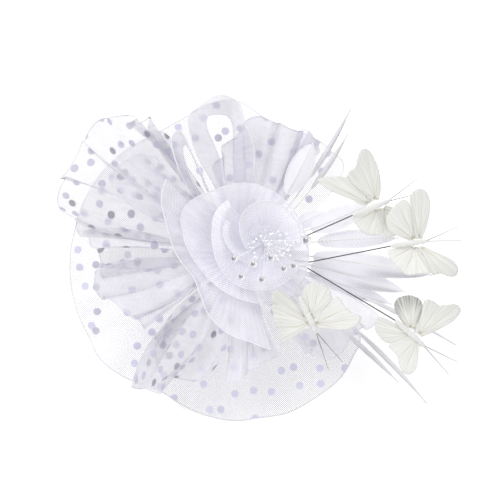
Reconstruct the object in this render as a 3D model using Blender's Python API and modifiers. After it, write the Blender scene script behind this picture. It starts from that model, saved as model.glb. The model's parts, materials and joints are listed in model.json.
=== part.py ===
"""Bridal fascinator on a headband, modelled face up and then leaned back as it stands on a table.

The face frame has its origin at the middle of the sewing pad, +X to the right, +Y to the top and +Z out of the
face. Everything is built there, under one empty. The empty is then turned and dropped until the net's rim and
the two ends of the headband stand on the floor together.
"""

import math
from collections import namedtuple

import bmesh
import bpy
from mathutils import Matrix, Vector

MM = 0.001

# Headband and the pad that is one piece with it
BAND_HALF_WIDTH = 64 * MM
BAND_HALF_DEPTH = 75 * MM
BAND_END_ANGLE = 125
BAND_STRIP_WIDTH = 8 * MM
BAND_WALL = 1.8 * MM
PAD_RADIUS = 24 * MM
PAD_WALL = 2.4 * MM

# Cloth
SHEET_WALL = 1.0 * MM
SEAT_GAP = 0.3 * MM
GATHER_REACH = 12 * MM
GATHER_RADIUS = 5 * MM
GATHER_LEVEL = SEAT_GAP + SHEET_WALL + SEAT_GAP + 0.8 * SHEET_WALL

# Net saucer
SAUCER_RADIUS = 146 * MM
SAUCER_FLUTE = 6 * MM
SAUCER_CENTRE = Vector((-10.8, -6.3)) * MM

# Rose of stiff braid
ROSE_RADIUS = 58 * MM
ROSE_HEIGHT = 25 * MM
ROSE_FOOT_RADIUS = 8 * MM
ROSE_CENTRE = Vector((5.5, 10.5)) * MM
ROSE_SWELL = 1.6
LAYER_STEP = 1.7 * MM
RUFFLE_REACH = 100 * MM
RUFFLE_HEIGHT = 31 * MM
RUFFLE_FOOT_RADIUS = 16 * MM
BRAID_HEIGHT = 37 * MM
BRAID_FOOT_RADIUS = 9.5 * MM
CUP_CORE = Vector((21, 10)) * MM
CUP_REACH = 40 * MM
CUP_HEIGHT = 44 * MM
CUP_FOOT_RADIUS = 6.4 * MM

# Pearls on their wires
PEARL_RADIUS = 3.2 * MM
PEARL_WIRE_RADIUS = 0.45 * MM
PEARL_ARCH = 56 * MM
PEARL_ROOT_RADIUS = 4.6 * MM

# Feathers
FEATHER_WALL = 1.0 * MM
QUILL_WIDTH = 1.8 * MM

# Butterflies
BODY_LENGTH = 34 * MM
BODY_RADIUS = 2.1 * MM
WING_WALL = 1.0 * MM
WING_GAP = 0.35 * MM
WING_STEP = 1.5 * MM
FORE_ROOT = 7.0 * MM
HIND_ROOT = 2.0 * MM
FEELER_RADIUS = 0.4 * MM
FEELER_LENGTH = 33 * MM
STEM_RADIUS = 0.6 * MM
STEM_FOOT = 20 * MM

Look = namedtuple("Look", "colour roughness metallic")
LOOKS = {
    "satin_band": Look((0.90, 0.90, 0.91), 0.45, 0.0),
    "dotted_net": Look((0.88, 0.88, 0.92), 0.7, 0.0),
    "organza": Look((0.82, 0.82, 0.93), 0.5, 0.0),
    "stiff_braid": Look((0.86, 0.87, 0.94), 0.45, 0.0),
    "feather": Look((0.93, 0.93, 0.94), 0.8, 0.0),
    "wing": Look((0.93, 0.93, 0.88), 0.8, 0.0),
    "cotton_body": Look((0.94, 0.93, 0.88), 0.85, 0.0),
    "pearl": Look((0.93, 0.93, 0.95), 0.15, 0.2),
    "black_wire": Look((0.05, 0.05, 0.05), 0.4, 0.6),
}

# A rib is one fold line of a gathered sheet: its direction in degrees, and the reach and lift of its outer end
# as shares of the sheet's own. A sheet has the direction of its gathered root, the layer it lies in there, and
# the power by which its lift grows outwards.
Rib = namedtuple("Rib", "angle reach lift")
Sheet = namedtuple("Sheet", "name look reach lift root layer power ribs")

SHEETS = (
    Sheet("net_fan_upper_left", "dotted_net", 162 * MM, 36 * MM, 143, 0, 1.25, (
        Rib(168, 0.955, 0.30),
        Rib(158, 0.980, 0.75),
        Rib(147, 0.985, 0.45),
        Rib(138, 1.000, 0.90),
        Rib(132, 1.000, 0.45),
        Rib(129, 0.885, 0.95),
        Rib(125, 0.845, 0.40),
        Rib(121, 0.760, 0.62),
        Rib(118, 0.640, 0.34),
    )),
    Sheet("organza_puff_left", "organza", 119 * MM, 46 * MM, 140, 1, 1.7, (
        Rib(157, 0.84, 0.84),
        Rib(152, 0.96, 1.00),
        Rib(146, 1.00, 0.88),
        Rib(140, 0.99, 1.00),
        Rib(134, 0.94, 0.90),
        Rib(129, 0.85, 1.00),
    )),
    Sheet("net_fan_left", "dotted_net", 138 * MM, 36 * MM, 180, 0, 1.25, (
        Rib(167, 1.000, 1.00),
        Rib(172, 0.920, 0.60),
        Rib(177, 0.840, 1.00),
        Rib(184, 0.810, 0.60),
        Rib(190, 0.800, 0.90),
    )),
    Sheet("organza_leaf_left", "organza", 112 * MM, 38 * MM, 205, 0, 1.25, (
        Rib(192, 0.98, 0.95),
        Rib(198, 0.96, 0.62),
        Rib(205, 0.91, 1.00),
        Rib(212, 0.86, 0.60),
        Rib(218, 0.84, 0.86),
    )),
    Sheet("net_fan_lower_left", "dotted_net", 140 * MM, 30 * MM, 240, 0, 1.25, (
        Rib(222, 0.66, 0.90),
        Rib(228, 0.80, 0.50),
        Rib(232.5, 0.99, 0.62),
        Rib(239, 0.86, 0.95),
        Rib(248, 0.78, 0.50),
        Rib(257, 0.72, 0.95),
    )),
    Sheet("organza_fan_bottom", "organza", 104 * MM, 28 * MM, 278, 0, 1.25, (
        Rib(261, 1.00, 0.70),
        Rib(267, 0.95, 1.00),
        Rib(273, 0.90, 0.62),
        Rib(280, 0.85, 1.00),
        Rib(288, 0.81, 0.60),
        Rib(296, 0.80, 0.95),
    )),
    Sheet("organza_fan_corner", "organza", 122 * MM, 27 * MM, 320, 0, 1.25, (
        Rib(301, 0.76, 0.95),
        Rib(308, 0.82, 0.62),
        Rib(314, 0.91, 1.00),
        Rib(326, 0.93, 0.66),
        Rib(338, 1.00, 1.00),
        Rib(343, 0.84, 0.72),
    )),
    Sheet("organza_fan_top", "organza", 111 * MM, 35 * MM, 66, 0, 1.25, (
        Rib(50.5, 0.93, 0.62),
        Rib(53, 0.98, 0.95),
        Rib(56, 1.00, 0.55),
        Rib(59, 1.01, 1.00),
        Rib(63, 1.00, 0.52),
        Rib(68, 0.98, 1.00),
        Rib(73, 0.99, 0.55),
        Rib(79, 0.99, 1.00),
        Rib(84, 1.00, 0.60),
    )),
)

# The saucer's outline: reach as a share of its radius, and the flute's height as a share of the flute.
SAUCER_RIBS = (
    Rib(38, 0.90, 0.9),
    Rib(47, 0.94, -0.6),
    Rib(56, 0.93, 0.8),
    Rib(66, 0.91, -0.6),
    Rib(76, 0.92, 0.5),
    Rib(87, 1.00, -0.5),
    Rib(97, 0.98, 0.4),
    Rib(108, 0.93, -0.6),
    Rib(120, 0.91, 0.3),
    Rib(134, 0.94, -0.8),
    Rib(150, 0.96, 0.2),
    Rib(165, 0.97, -0.8),
    Rib(178, 0.975, 0.3),
    Rib(188, 0.985, -0.8),
    Rib(198, 0.980, 0.5),
    Rib(208, 0.980, -0.6),
    Rib(217, 0.990, 0.6),
    Rib(227, 0.965, -0.7),
    Rib(236, 0.920, 0.2),
    Rib(244, 0.905, -0.6),
    Rib(252, 0.925, 0.5),
    Rib(262, 0.960, -0.5),
    Rib(272, 0.980, 0.2),
    Rib(282, 0.985, -0.4),
    Rib(292, 1.000, 0.6),
    Rib(303, 1.000, -0.7),
    Rib(314, 0.995, 0.5),
    Rib(323, 0.970, -0.5),
    Rib(331, 0.930, 0.3),
    Rib(340, 0.70, 0.1),
    Rib(350, 0.45, 0.0),
    Rib(360, 0.42, 0.0),
    Rib(374, 0.42, 0.0),
    Rib(386, 0.50, 0.1),
)

# A ribbon loop stands on its edge: each section has the direction and reach of its far and near edges, as
# shares of the loop's reach, and the height of both as shares of its width.
Section = namedtuple("Section", "far_angle far_reach near_angle near_reach far_height near_height")
Loop = namedtuple("Loop", "name reach width sections")

LOOPS = (
    Loop("organza_loop_top", 128 * MM, 34 * MM, (
        Section(106, 0.14, 113, 0.16, 0.006, 0.12),
        Section(104, 0.44, 110, 0.46, 0.15, 0.44),
        Section(102, 0.68, 113, 0.72, 0.22, 0.95),
        Section(104.5, 0.90, 111, 0.985, 0.26, 1.20),
        Section(103, 0.99, 104, 1.06, 0.28, 1.25),
        Section(98, 0.99, 97, 1.10, 0.28, 1.28),
        Section(94.5, 0.96, 90.5, 1.04, 0.28, 1.25),
        Section(93, 0.86, 87.5, 0.90, 0.27, 1.18),
        Section(94, 0.68, 82, 0.72, 0.22, 0.95),
        Section(94, 0.44, 80, 0.46, 0.15, 0.44),
        Section(92, 0.14, 80, 0.16, 0.006, 0.12),
    )),
    Loop("organza_loop_left", 120 * MM, 26 * MM, (
        Section(127, 0.19, 133, 0.20, 0.14, 0.24),
        Section(124, 0.56, 128, 0.60, 0.50, 0.70),
        Section(121.5, 0.72, 125.5, 0.76, 0.80, 1.42),
        Section(118.5, 0.88, 120.5, 0.98, 0.86, 1.50),
        Section(115.8, 0.89, 115.2, 0.99, 0.86, 1.50),
        Section(116.0, 0.70, 115.0, 0.76, 0.72, 1.30),
        Section(117, 0.56, 115.5, 0.60, 0.50, 0.70),
        Section(120, 0.19, 117.5, 0.20, 0.14, 0.24),
    )),
)

# The rose's outer rim: direction from the rose's centre, and reach and height as shares of the rose's own.
Rim = namedtuple("Rim", "angle reach height")
COLLAR = (
    Rim(-10, 0.97, 0.98),
    Rim(19, 0.90, 1.00),
    Rim(54, 0.89, 1.04),
    Rim(87, 0.92, 1.00),
    Rim(121, 0.95, 1.02),
    Rim(151, 1.09, 1.05),
    Rim(174, 0.96, 1.02),
    Rim(206, 0.81, 0.98),
    Rim(238, 0.80, 0.96),
    Rim(270, 0.88, 0.96),
    Rim(296, 1.02, 0.94),
    Rim(319, 1.06, 0.94),
)

# A row of a braid wall: direction, then the reach and height of its crest and of the lip beyond the crest, as
# shares of the wall's own reach and height.
Petal = namedtuple("Petal", "angle crest_reach crest_height lip_reach lip_height")
RUFFLE = (
    Petal(134, 0.84, 1.00, 0.93, 1.20),
    Petal(145, 0.78, 0.99, 0.84, 1.19),
    Petal(157, 0.66, 0.95, 0.70, 1.14),
    Petal(170, 0.585, 0.84, 0.61, 1.04),
    Petal(186, 0.50, 0.74, 0.525, 0.95),
    Petal(204, 0.43, 0.68, 0.455, 0.88),
    Petal(224, 0.46, 0.74, 0.49, 0.92),
    Petal(244, 0.56, 0.84, 0.60, 0.98),
    Petal(262, 0.66, 0.88, 0.70, 1.00),
    Petal(277, 0.73, 0.92, 0.77, 1.06),
    Petal(288, 0.82, 0.96, 0.87, 1.12),
)

BRAID = (
    Petal(112, 0.60, 0.88, 0.72, 0.80),
    Petal(135, 0.52, 0.96, 0.66, 0.84),
    Petal(158, 0.42, 1.00, 0.56, 0.86),
    Petal(182, 0.36, 1.00, 0.51, 0.86),
    Petal(206, 0.36, 0.98, 0.52, 0.84),
    Petal(230, 0.40, 0.92, 0.56, 0.82),
    Petal(254, 0.48, 0.88, 0.64, 0.80),
    Petal(278, 0.58, 0.86, 0.72, 0.80),
    Petal(300, 0.68, 0.86, 0.80, 0.80),
    Petal(322, 0.76, 0.86, 0.86, 0.80),
    Petal(340, 0.80, 0.86, 0.89, 0.80),
)

CUP = (
    Petal(-6, 0.72, 0.86, 0.80, 0.88),
    Petal(14, 0.76, 0.92, 0.84, 0.96),
    Petal(38, 0.78, 0.96, 0.87, 1.00),
    Petal(64, 0.82, 0.96, 0.92, 1.02),
    Petal(90, 0.84, 0.96, 0.94, 1.02),
    Petal(114, 0.76, 0.96, 0.86, 1.02),
    Petal(136, 0.62, 0.95, 0.72, 1.00),
    Petal(158, 0.46, 0.92, 0.55, 0.98),
    Petal(182, 0.36, 0.86, 0.43, 0.92),
    Petal(200, 0.32, 0.80, 0.38, 0.86),
)

# Pearls by place on the face in millimetres, the direction of the wire's foot from the rose's core, and the
# pearl's size as a share of the common one.
Pearl = namedtuple("Pearl", "x y z foot size")
PEARLS = (
    Pearl(-4.1, -2.9, 45.0, 196, 1.0),
    Pearl(12.7, -7.5, 48.0, 252, 1.0),
    Pearl(2.2, -18.5, 42.0, 224, 1.0),
    Pearl(20.2, -21.3, 41.0, 280, 1.0),
    Pearl(28.1, -2.1, 45.0, 308, 1.0),
    Pearl(39.5, -11.7, 41.0, 336, 1.0),
    Pearl(48.2, -9.2, 42.0, 4, 1.0),
    Pearl(59.0, 13.0, 44.0, 34, 1.25),
)

# Feathers by direction, reach and height in millimetres of the quill's foot and of the tip, seen from the pad's
# middle, the vane's width, how far the middle bows sideways and upwards, and the share of the length where the
# vane begins.
Feather = namedtuple(
    "Feather", "name foot_angle foot_reach foot_height tip_angle tip_reach tip_height width bow arch vane"
)
FEATHERS = (
    Feather("feather_leaf_top", 51, 54, 10.6, 57.0, 117, 45, 22.0, -3, 0, 0.22),
    Feather("feather_biot_top", 40, 30, 2.8, 52.8, 160, 50, 5.0, -9, -4, 0.48),
    Feather("feather_biot_side", 34.5, 30, 2.8, 48.2, 142, 43, 5.0, -9, -3, 0.50),
    Feather("feather_tuft", 28.5, 30, 2.8, 27.0, 86, 13, 14.0, 0, 0, 0.42),
    Feather("feather_leaf_side", 22.5, 30, 2.8, 21.5, 122, 25, 22.0, -4, 2, 0.40),
    Feather("feather_barred", 14, 30, 2.8, 6.1, 142, 22, 17.0, 4, 0, 0.36),
    Feather("feather_broad", 6, 30, 2.8, -6.0, 171, 30, 21.0, 2, 6, 0.25),
    Feather("feather_grey", -2, 30, 2.8, -12.5, 152, 19, 18.0, 2, 3, 0.28),
    Feather("feather_low", -9.5, 30, 2.8, -18.0, 143, 9, 15.0, 2, 2, 0.30),
    Feather("feather_wisp", -16, 30, 2.8, -22.6, 207, 22, 4.0, 12, 0, 0.50),
    Feather("feather_spike_long", -26, 44, 2.9, -38.5, 213, 15, 4.6, 14, -2, 0.48),
    Feather("feather_spike_short", -36, 44, 2.9, -38.8, 182, 10, 4.6, 8, -1, 0.52),
)

# A butterfly's place and heading on the face, its size, the place its stem bends at, and the share of the body's
# length from its middle where the stem holds it.
Butterfly = namedtuple("Butterfly", "name x y z heading size foot bend_x bend_y bend_z hold")
BUTTERFLIES = (
    Butterfly("upper", 114.6, 41.2, 46, 21.5, 1.02, 17, 58.5, 16.9, 15.0, -0.5),
    Butterfly("right", 148.0, 10.2, 42, 8.0, 0.96, -5, 62.3, -6.2, 15.5, -0.5),
    Butterfly("low", 149.2, -68.6, 40, -42.0, 1.02, -11, 58.7, -10.6, 12.5, -0.5),
    Butterfly("near", 59.7, -52.4, 42, -64.7, 1.06, -17, 49.0, -41.0, 14.8, 0.1),
)

# A wing's direction from the body's own, in the plane of the wing, its rise in degrees, and its length and
# breadth in millimetres.
Wing = namedtuple("Wing", "fly kind side sweep rise length breadth")
WINGS = (
    Wing("upper", "fore", "left", 84, 20, 49, 32),
    Wing("upper", "hind", "left", 139, 20, 51, 33),
    Wing("upper", "fore", "right", 84, -14, 30, 28),
    Wing("upper", "hind", "right", 122, -14, 28, 34),
    Wing("right", "fore", "left", 84, 22, 47, 26),
    Wing("right", "hind", "left", 117, 22, 41, 35),
    Wing("right", "fore", "right", 46, 10, 38, 21),
    Wing("right", "hind", "right", 106, 10, 28, 42),
    Wing("low", "fore", "left", 77, 10, 44, 31),
    Wing("low", "hind", "left", 134, 10, 35, 34),
    Wing("low", "fore", "right", 67, 12, 35, 28),
    Wing("low", "hind", "right", 143, 12, 34, 32),
    Wing("near", "fore", "left", 79, 8, 45, 32),
    Wing("near", "hind", "left", 141, 8, 35, 34),
    Wing("near", "fore", "right", 112, 12, 33, 38),
    Wing("near", "hind", "right", 150, 12, 39, 31),
)

# Wing outlines: along the wing as a share of its length, and across it as a share of its breadth.
WING_OUTLINES = {
    "fore": (
        (0.00, -0.08), (0.16, -0.28), (0.36, -0.50), (0.58, -0.58), (0.80, -0.50), (0.95, -0.24), (1.00, 0.08),
        (0.94, 0.34), (0.76, 0.42), (0.52, 0.34), (0.26, 0.20), (0.00, 0.08),
    ),
    "hind": (
        (0.00, -0.08), (0.18, -0.30), (0.42, -0.52), (0.68, -0.55), (0.88, -0.40), (0.99, -0.10), (0.97, 0.22),
        (0.80, 0.45), (0.50, 0.48), (0.22, 0.28), (0.00, 0.08),
    ),
}
FEELER_ANGLES = (16, -7)


def clear_scene():
    for obj in list(bpy.data.objects):
        bpy.data.objects.remove(obj)


def make_materials():
    made = {}
    for name, look in LOOKS.items():
        material = bpy.data.materials.new(name)
        material.use_nodes = True
        shader = material.node_tree.nodes["Principled BSDF"]
        shader.inputs["Base Color"].default_value = (*look.colour, 1)
        shader.inputs["Roughness"].default_value = look.roughness
        shader.inputs["Metallic"].default_value = look.metallic
        made[name] = material
    return made


def polar(angle, reach):
    """The point at this direction in degrees and distance, on the face."""
    return Vector((math.cos(math.radians(angle)), math.sin(math.radians(angle)))) * reach


def along_rows(rows, place, column, closed=False):
    """A column's value at this place from 0 to 1 along the rows, on a smooth curve through them all."""
    count = len(rows)
    step = min(place, 0.999999) * (count if closed else count - 1)
    index = int(step)
    share = step - index

    def value(row):
        if closed:
            return getattr(rows[row % count], column) + (360 * (row // count) if column == "angle" else 0)
        return getattr(rows[max(0, min(row, count - 1))], column)

    before, first, second, after = (value(index + k) for k in (-1, 0, 1, 2))
    linear = second - before
    square = 2 * before - 5 * first + 4 * second - after
    cube = 3 * (first - second) + after - before
    return first + (linear * share + square * share**2 + cube * share**3) / 2


class Fascinator:
    """Makes the objects, all under one empty at the middle of the sewing pad."""

    def __init__(self):
        self.materials = make_materials()
        self.collection = bpy.data.collections.new("bridal_headband")
        bpy.context.scene.collection.children.link(self.collection)
        self.face = bpy.data.objects.new("face", None)
        self.collection.objects.link(self.face)

    def adopt(self, obj, name, look):
        """Names an object, gives it its material and hangs it on the face."""
        obj.name = name
        obj.data.name = name
        obj.data.materials.clear()
        obj.data.materials.append(self.materials[look])
        for old in list(obj.users_collection):
            old.objects.unlink(obj)
        self.collection.objects.link(obj)
        obj.parent = self.face
        return obj

    def grid(self, name, look, point_at, columns, rows, wall, closed=False):
        """A walled sheet: a grid laid over point_at(across, along), each from 0 to 1."""
        bpy.ops.mesh.primitive_grid_add(x_subdivisions=columns, y_subdivisions=rows, size=1)
        obj = bpy.context.object
        for vertex in obj.data.vertices:
            vertex.co = point_at(vertex.co.x + 0.5, vertex.co.y + 0.5)
        if closed:
            merge_doubles(obj.data)
        solidify = obj.modifiers.new("wall", "SOLIDIFY")
        solidify.thickness = wall
        solidify.offset = 0
        return self.adopt(obj, name, look)


def merge_doubles(mesh):
    shape = bmesh.new()
    shape.from_mesh(mesh)
    bmesh.ops.remove_doubles(shape, verts=shape.verts, dist=1e-6)
    shape.to_mesh(mesh)
    shape.free()


def evaluated_copy(obj):
    """A plain mesh of the object as its modifiers leave it, in its own place, with the old object removed."""
    bpy.context.view_layer.update()
    graph = bpy.context.evaluated_depsgraph_get()
    mesh = bpy.data.meshes.new_from_object(obj.evaluated_get(graph))
    matrix = obj.matrix_world.copy()
    bpy.data.objects.remove(obj)
    mesh.transform(matrix)
    merge_doubles(mesh)
    copy = bpy.data.objects.new("copy", mesh)
    bpy.context.scene.collection.objects.link(copy)
    return copy


def join_solids(first, others):
    """One solid from several that overlap."""
    for other in others:
        union = first.modifiers.new("union", "BOOLEAN")
        union.operation = "UNION"
        union.solver = "EXACT"
        union.object = other
        joined = evaluated_copy_keeping(first)
        bpy.data.objects.remove(other)
        first = joined
    return first


def evaluated_copy_keeping(obj):
    graph = bpy.context.evaluated_depsgraph_get()
    mesh = bpy.data.meshes.new_from_object(obj.evaluated_get(graph))
    copy = bpy.data.objects.new("joined", mesh)
    bpy.context.scene.collection.objects.link(copy)
    bpy.data.objects.remove(obj)
    return copy


def tube(points, radius, sides_level=0):
    """A round wire along these points, with closed ends, as a mesh object."""
    curve = bpy.data.curves.new("wire", "CURVE")
    curve.dimensions = "3D"
    curve.bevel_depth = radius
    curve.bevel_resolution = sides_level
    curve.use_fill_caps = True
    spline = curve.splines.new("POLY")
    spline.points.add(len(points) - 1)
    for target, point in zip(spline.points, points):
        target.co = (*point, 1)
    obj = bpy.data.objects.new("wire", curve)
    bpy.context.scene.collection.objects.link(obj)
    return evaluated_copy(obj)


def arc_points(start, control, end, count):
    """Points along the quadratic curve from start to end that leans towards control."""
    places = [i / (count - 1) for i in range(count)]
    return [start * (1 - t) ** 2 + control * (2 * t * (1 - t)) + end * t**2 for t in places]


def make_headband(model):
    """The band and its pad, one plain piece."""
    steps = 40
    pad_back = -PAD_WALL
    band_top = pad_back - BAND_WALL / 2 + SEAT_GAP

    def strip(across, along):
        angle = math.radians(BAND_END_ANGLE) * (2 * across - 1)
        height = band_top - BAND_HALF_DEPTH * (1 - math.cos(angle))
        return Vector((BAND_HALF_WIDTH * math.sin(angle), (along - 0.5) * BAND_STRIP_WIDTH, height))

    bpy.ops.mesh.primitive_grid_add(x_subdivisions=steps, y_subdivisions=1, size=1)
    band = bpy.context.object
    for vertex in band.data.vertices:
        vertex.co = strip(vertex.co.x + 0.5, vertex.co.y + 0.5)
    wall = band.modifiers.new("wall", "SOLIDIFY")
    wall.thickness = BAND_WALL
    wall.offset = 0
    band = evaluated_copy(band)
    bpy.ops.mesh.primitive_cylinder_add(
        vertices=32, radius=PAD_RADIUS, depth=PAD_WALL, location=(0, 0, -PAD_WALL / 2)
    )
    pad = evaluated_copy(bpy.context.object)
    model.adopt(join_solids(pad, [band]), "headband", "satin_band")


def make_saucer(model):
    """The dotted net saucer, fluted at its rim, cut back on the side that the feathers fill."""

    def surface(across, along):
        angle = along_rows(SAUCER_RIBS, across, "angle", closed=True)
        tip = polar(angle, along_rows(SAUCER_RIBS, across, "reach", closed=True) * SAUCER_RADIUS) + SAUCER_CENTRE
        plan = (tip.normalized() * GATHER_RADIUS).lerp(tip, along)
        flute = along_rows(SAUCER_RIBS, across, "lift", closed=True) * SAUCER_FLUTE * along**2
        return Vector((plan.x, plan.y, SEAT_GAP + SHEET_WALL / 2 + flute))

    model.grid("net_saucer", "dotted_net", surface, 2 * len(SAUCER_RIBS), 4, SHEET_WALL, closed=True)


def make_sheet(model, sheet):
    """A sheet gathered at the pad's edge, whose folds spread out and lift off the saucer."""
    root = polar(sheet.root, GATHER_REACH)

    def surface(across, along):
        direction = polar(along_rows(sheet.ribs, across, "angle"), 1)
        reach = along_rows(sheet.ribs, across, "reach") * sheet.reach
        plan = root + direction * (GATHER_RADIUS + (reach - GATHER_RADIUS) * along)
        lift = along_rows(sheet.ribs, across, "lift") * sheet.lift
        return Vector((plan.x, plan.y, GATHER_LEVEL + sheet.layer * LAYER_STEP + lift * along**sheet.power))

    model.grid(sheet.name, sheet.look, surface, 2 * (len(sheet.ribs) - 1), 5, SHEET_WALL)


def make_loop(model, loop):
    """A ribbon loop that stands on its edge."""

    def surface(across, along):
        def value(column):
            return along_rows(loop.sections, across, column)

        far = polar(value("far_angle"), value("far_reach") * loop.reach)
        near = polar(value("near_angle"), value("near_reach") * loop.reach)
        plan = far.lerp(near, along)
        height = value("far_height") + (value("near_height") - value("far_height")) * along
        return Vector((plan.x, plan.y, GATHER_LEVEL + height * loop.width))

    model.grid(loop.name, "organza", surface, 2 * (len(loop.sections) - 1), 2, SHEET_WALL)


def collar_point(across, along):
    """A point of the rose's collar, from its flat foot at 0 to its rim at 1."""
    radius = along_rows(COLLAR, across, "reach", closed=True) * ROSE_RADIUS
    height = along_rows(COLLAR, across, "height", closed=True) * ROSE_HEIGHT
    direction = polar(along_rows(COLLAR, across, "angle", closed=True), 1)
    plan = ROSE_CENTRE * along + direction * (ROSE_FOOT_RADIUS + (radius - ROSE_FOOT_RADIUS) * along)
    level = SEAT_GAP * 2 + SHEET_WALL * 1.5
    return Vector((plan.x, plan.y, level + (height - level) * (1 - (1 - along) ** ROSE_SWELL)))


def collar_across(direction):
    """How far round the collar this direction lies, from 0 to 1."""
    low, high = 0.0, 1.0
    angle = (direction - COLLAR[0].angle) % 360 + COLLAR[0].angle
    for _ in range(24):
        middle = (low + high) / 2
        if along_rows(COLLAR, middle, "angle", closed=True) < angle:
            low = middle
        else:
            high = middle
    return (low + high) / 2


def collar_under(point):
    """The collar's height at a point of the face, or None beyond its rim."""
    low, high = 0.0, 1.0
    for _ in range(20):
        along = (low + high) / 2
        arm = point - ROSE_CENTRE * along
        across = collar_across(math.degrees(math.atan2(arm.y, arm.x)))
        edge = collar_point(across, along)
        if arm.length > (Vector((edge.x, edge.y)) - ROSE_CENTRE * along).length:
            low = along
        else:
            high = along
    return None if low > 0.999 else collar_point(across, (low + high) / 2).z


def make_collar(model):
    """The rose's collar, a shallow bowl."""
    model.grid("rose_collar", "stiff_braid", collar_point, 2 * len(COLLAR), 5, SHEET_WALL, closed=True)


def make_wall(model, name, rows, centre, reach, height, foot_centre, foot_radius, above, power):
    """A braid wall from a foot ring up to its crest and on to its lip, kept clear above or below the collar."""

    def surface(across, along):
        def value(column):
            return along_rows(rows, across, column)

        direction = polar(value("angle"), 1)
        foot = foot_centre + direction * foot_radius
        crest = centre + direction * value("crest_reach") * reach
        lip = centre + direction * value("lip_reach") * reach
        base = (collar_under(foot) or 0) + (LAYER_STEP if above else -LAYER_STEP)
        turn = 0.75
        if along < turn:
            climb = along / turn
            plan = foot.lerp(crest, climb)
            rise = base + (value("crest_height") * height - base) * climb**power
        else:
            beyond = (along - turn) / (1 - turn)
            plan = crest.lerp(lip, beyond)
            rise = (value("crest_height") + (value("lip_height") - value("crest_height")) * beyond) * height
        collar = collar_under(plan)
        if collar is not None:
            rise = max(rise, collar + LAYER_STEP) if above else min(rise, collar - LAYER_STEP)
        return Vector((plan.x, plan.y, rise))

    model.grid(name, "stiff_braid", surface, 2 * (len(rows) - 1), 4, SHEET_WALL)


def make_rose(model):
    """The collar, the ruffle behind it, the standing braid and the inner cup."""
    make_collar(model)
    middle = Vector((0, 0))
    make_wall(
        model, "braid_ruffle", RUFFLE, middle, RUFFLE_REACH, RUFFLE_HEIGHT, middle, RUFFLE_FOOT_RADIUS, False, 1.8
    )
    make_wall(
        model, "rose_braid", BRAID, ROSE_CENTRE, ROSE_RADIUS, BRAID_HEIGHT, CUP_CORE, BRAID_FOOT_RADIUS, True, 0.8
    )
    make_wall(model, "rose_cup", CUP, CUP_CORE, CUP_REACH, CUP_HEIGHT, CUP_CORE, CUP_FOOT_RADIUS, True, 0.8)


def make_pearl(model, number, pearl):
    """A pearl on the end of its arched wire, which springs from the rose's core."""
    end = Vector((pearl.x, pearl.y, pearl.z)) * MM
    root = CUP_CORE + polar(pearl.foot, PEARL_ROOT_RADIUS)
    foot = Vector((root.x, root.y, collar_under(root) + SHEET_WALL / 2 + SEAT_GAP * 2))
    peak = Vector((root.x, root.y, PEARL_ARCH))
    wire = tube(arc_points(foot, peak, end, 7), PEARL_WIRE_RADIUS)
    bpy.ops.mesh.primitive_uv_sphere_add(
        segments=10, ring_count=7, radius=PEARL_RADIUS * pearl.size, location=end
    )
    bead = evaluated_copy(bpy.context.object)
    model.adopt(join_solids(bead, [wire]), f"pearl_{number}", "pearl")


def vane_half(feather, share):
    """Half the feather's width at this share of its length, from the bare quill to the pointed tip."""
    if share < feather.vane:
        return QUILL_WIDTH / 2
    along = (share - feather.vane) / (1 - feather.vane)
    swell = math.sin(math.pi * along**0.75) ** 0.65 if along < 1 else 0
    return QUILL_WIDTH / 2 * (1 - 0.6 * along) + swell * (feather.width * MM - QUILL_WIDTH) / 2


def make_feather(model, feather):
    """A feather from its quill's foot on the saucer to its tip, slightly hollow underneath."""
    start = Vector((*polar(feather.foot_angle, feather.foot_reach * MM), feather.foot_height * MM))
    end = Vector((*polar(feather.tip_angle, feather.tip_reach * MM), feather.tip_height * MM))
    side = Vector((-(end - start).y, (end - start).x, 0)).normalized()
    middle = (start + end) / 2 + side * feather.bow * MM + Vector((0, 0, feather.arch * MM))

    def surface(across, along):
        spine = start * (1 - along) ** 2 + middle * (2 * along * (1 - along)) + end * along**2
        half = vane_half(feather, along)
        offset = 2 * across - 1
        return spine + side * half * offset - Vector((0, 0, 0.16 * half * abs(offset)))

    model.grid(feather.name, "feather", surface, 2, 10, FEATHER_WALL)


def make_wing(model, place, wing):
    """A flat feather wing beside the body, from its outline."""
    fore = wing.kind == "fore"
    side = 1 if wing.side == "left" else -1
    root = FORE_ROOT if fore else HIND_ROOT
    turn = Matrix.Rotation(math.radians(wing.sweep), 2)
    outline = WING_OUTLINES[wing.kind]
    shape = bmesh.new()
    corners = []
    for i, (out, aside) in enumerate(outline):
        places = [Vector((out, aside))]
        if 0 < i < len(outline) - 2:
            around = [Vector(outline[i + k]) for k in (-1, 0, 1, 2)]
            places.append((around[1] + around[2]) * 0.5625 - (around[0] + around[3]) * 0.0625)
        for share in places:
            flat = turn @ Vector((share.x * wing.length * MM, -share.y * wing.breadth * MM))
            flat = Vector((root + flat.x, side * (BODY_RADIUS + WING_GAP + max(flat.y, 0)), 0))
            corners.append(shape.verts.new(flat))
    shape.faces.new(corners)
    bmesh.ops.recalc_face_normals(shape, faces=shape.faces)
    mesh = bpy.data.meshes.new("wing")
    shape.to_mesh(mesh)
    shape.free()
    merge_doubles(mesh)
    hinge = Vector((0, side * BODY_RADIUS, -0 if fore else -WING_STEP))
    rise = Matrix.Rotation(math.radians(wing.rise) * side, 4, "X")
    mesh.transform(place @ Matrix.Translation(hinge) @ rise @ Matrix.Translation((0, -side * BODY_RADIUS, 0)))
    obj = bpy.data.objects.new("wing", mesh)
    bpy.context.scene.collection.objects.link(obj)
    wall = obj.modifiers.new("wall", "SOLIDIFY")
    wall.thickness = WING_WALL
    wall.offset = 0
    model.adopt(obj, f"butterfly_{wing.fly}_{wing.kind}_wing_{wing.side}", "wing")


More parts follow.
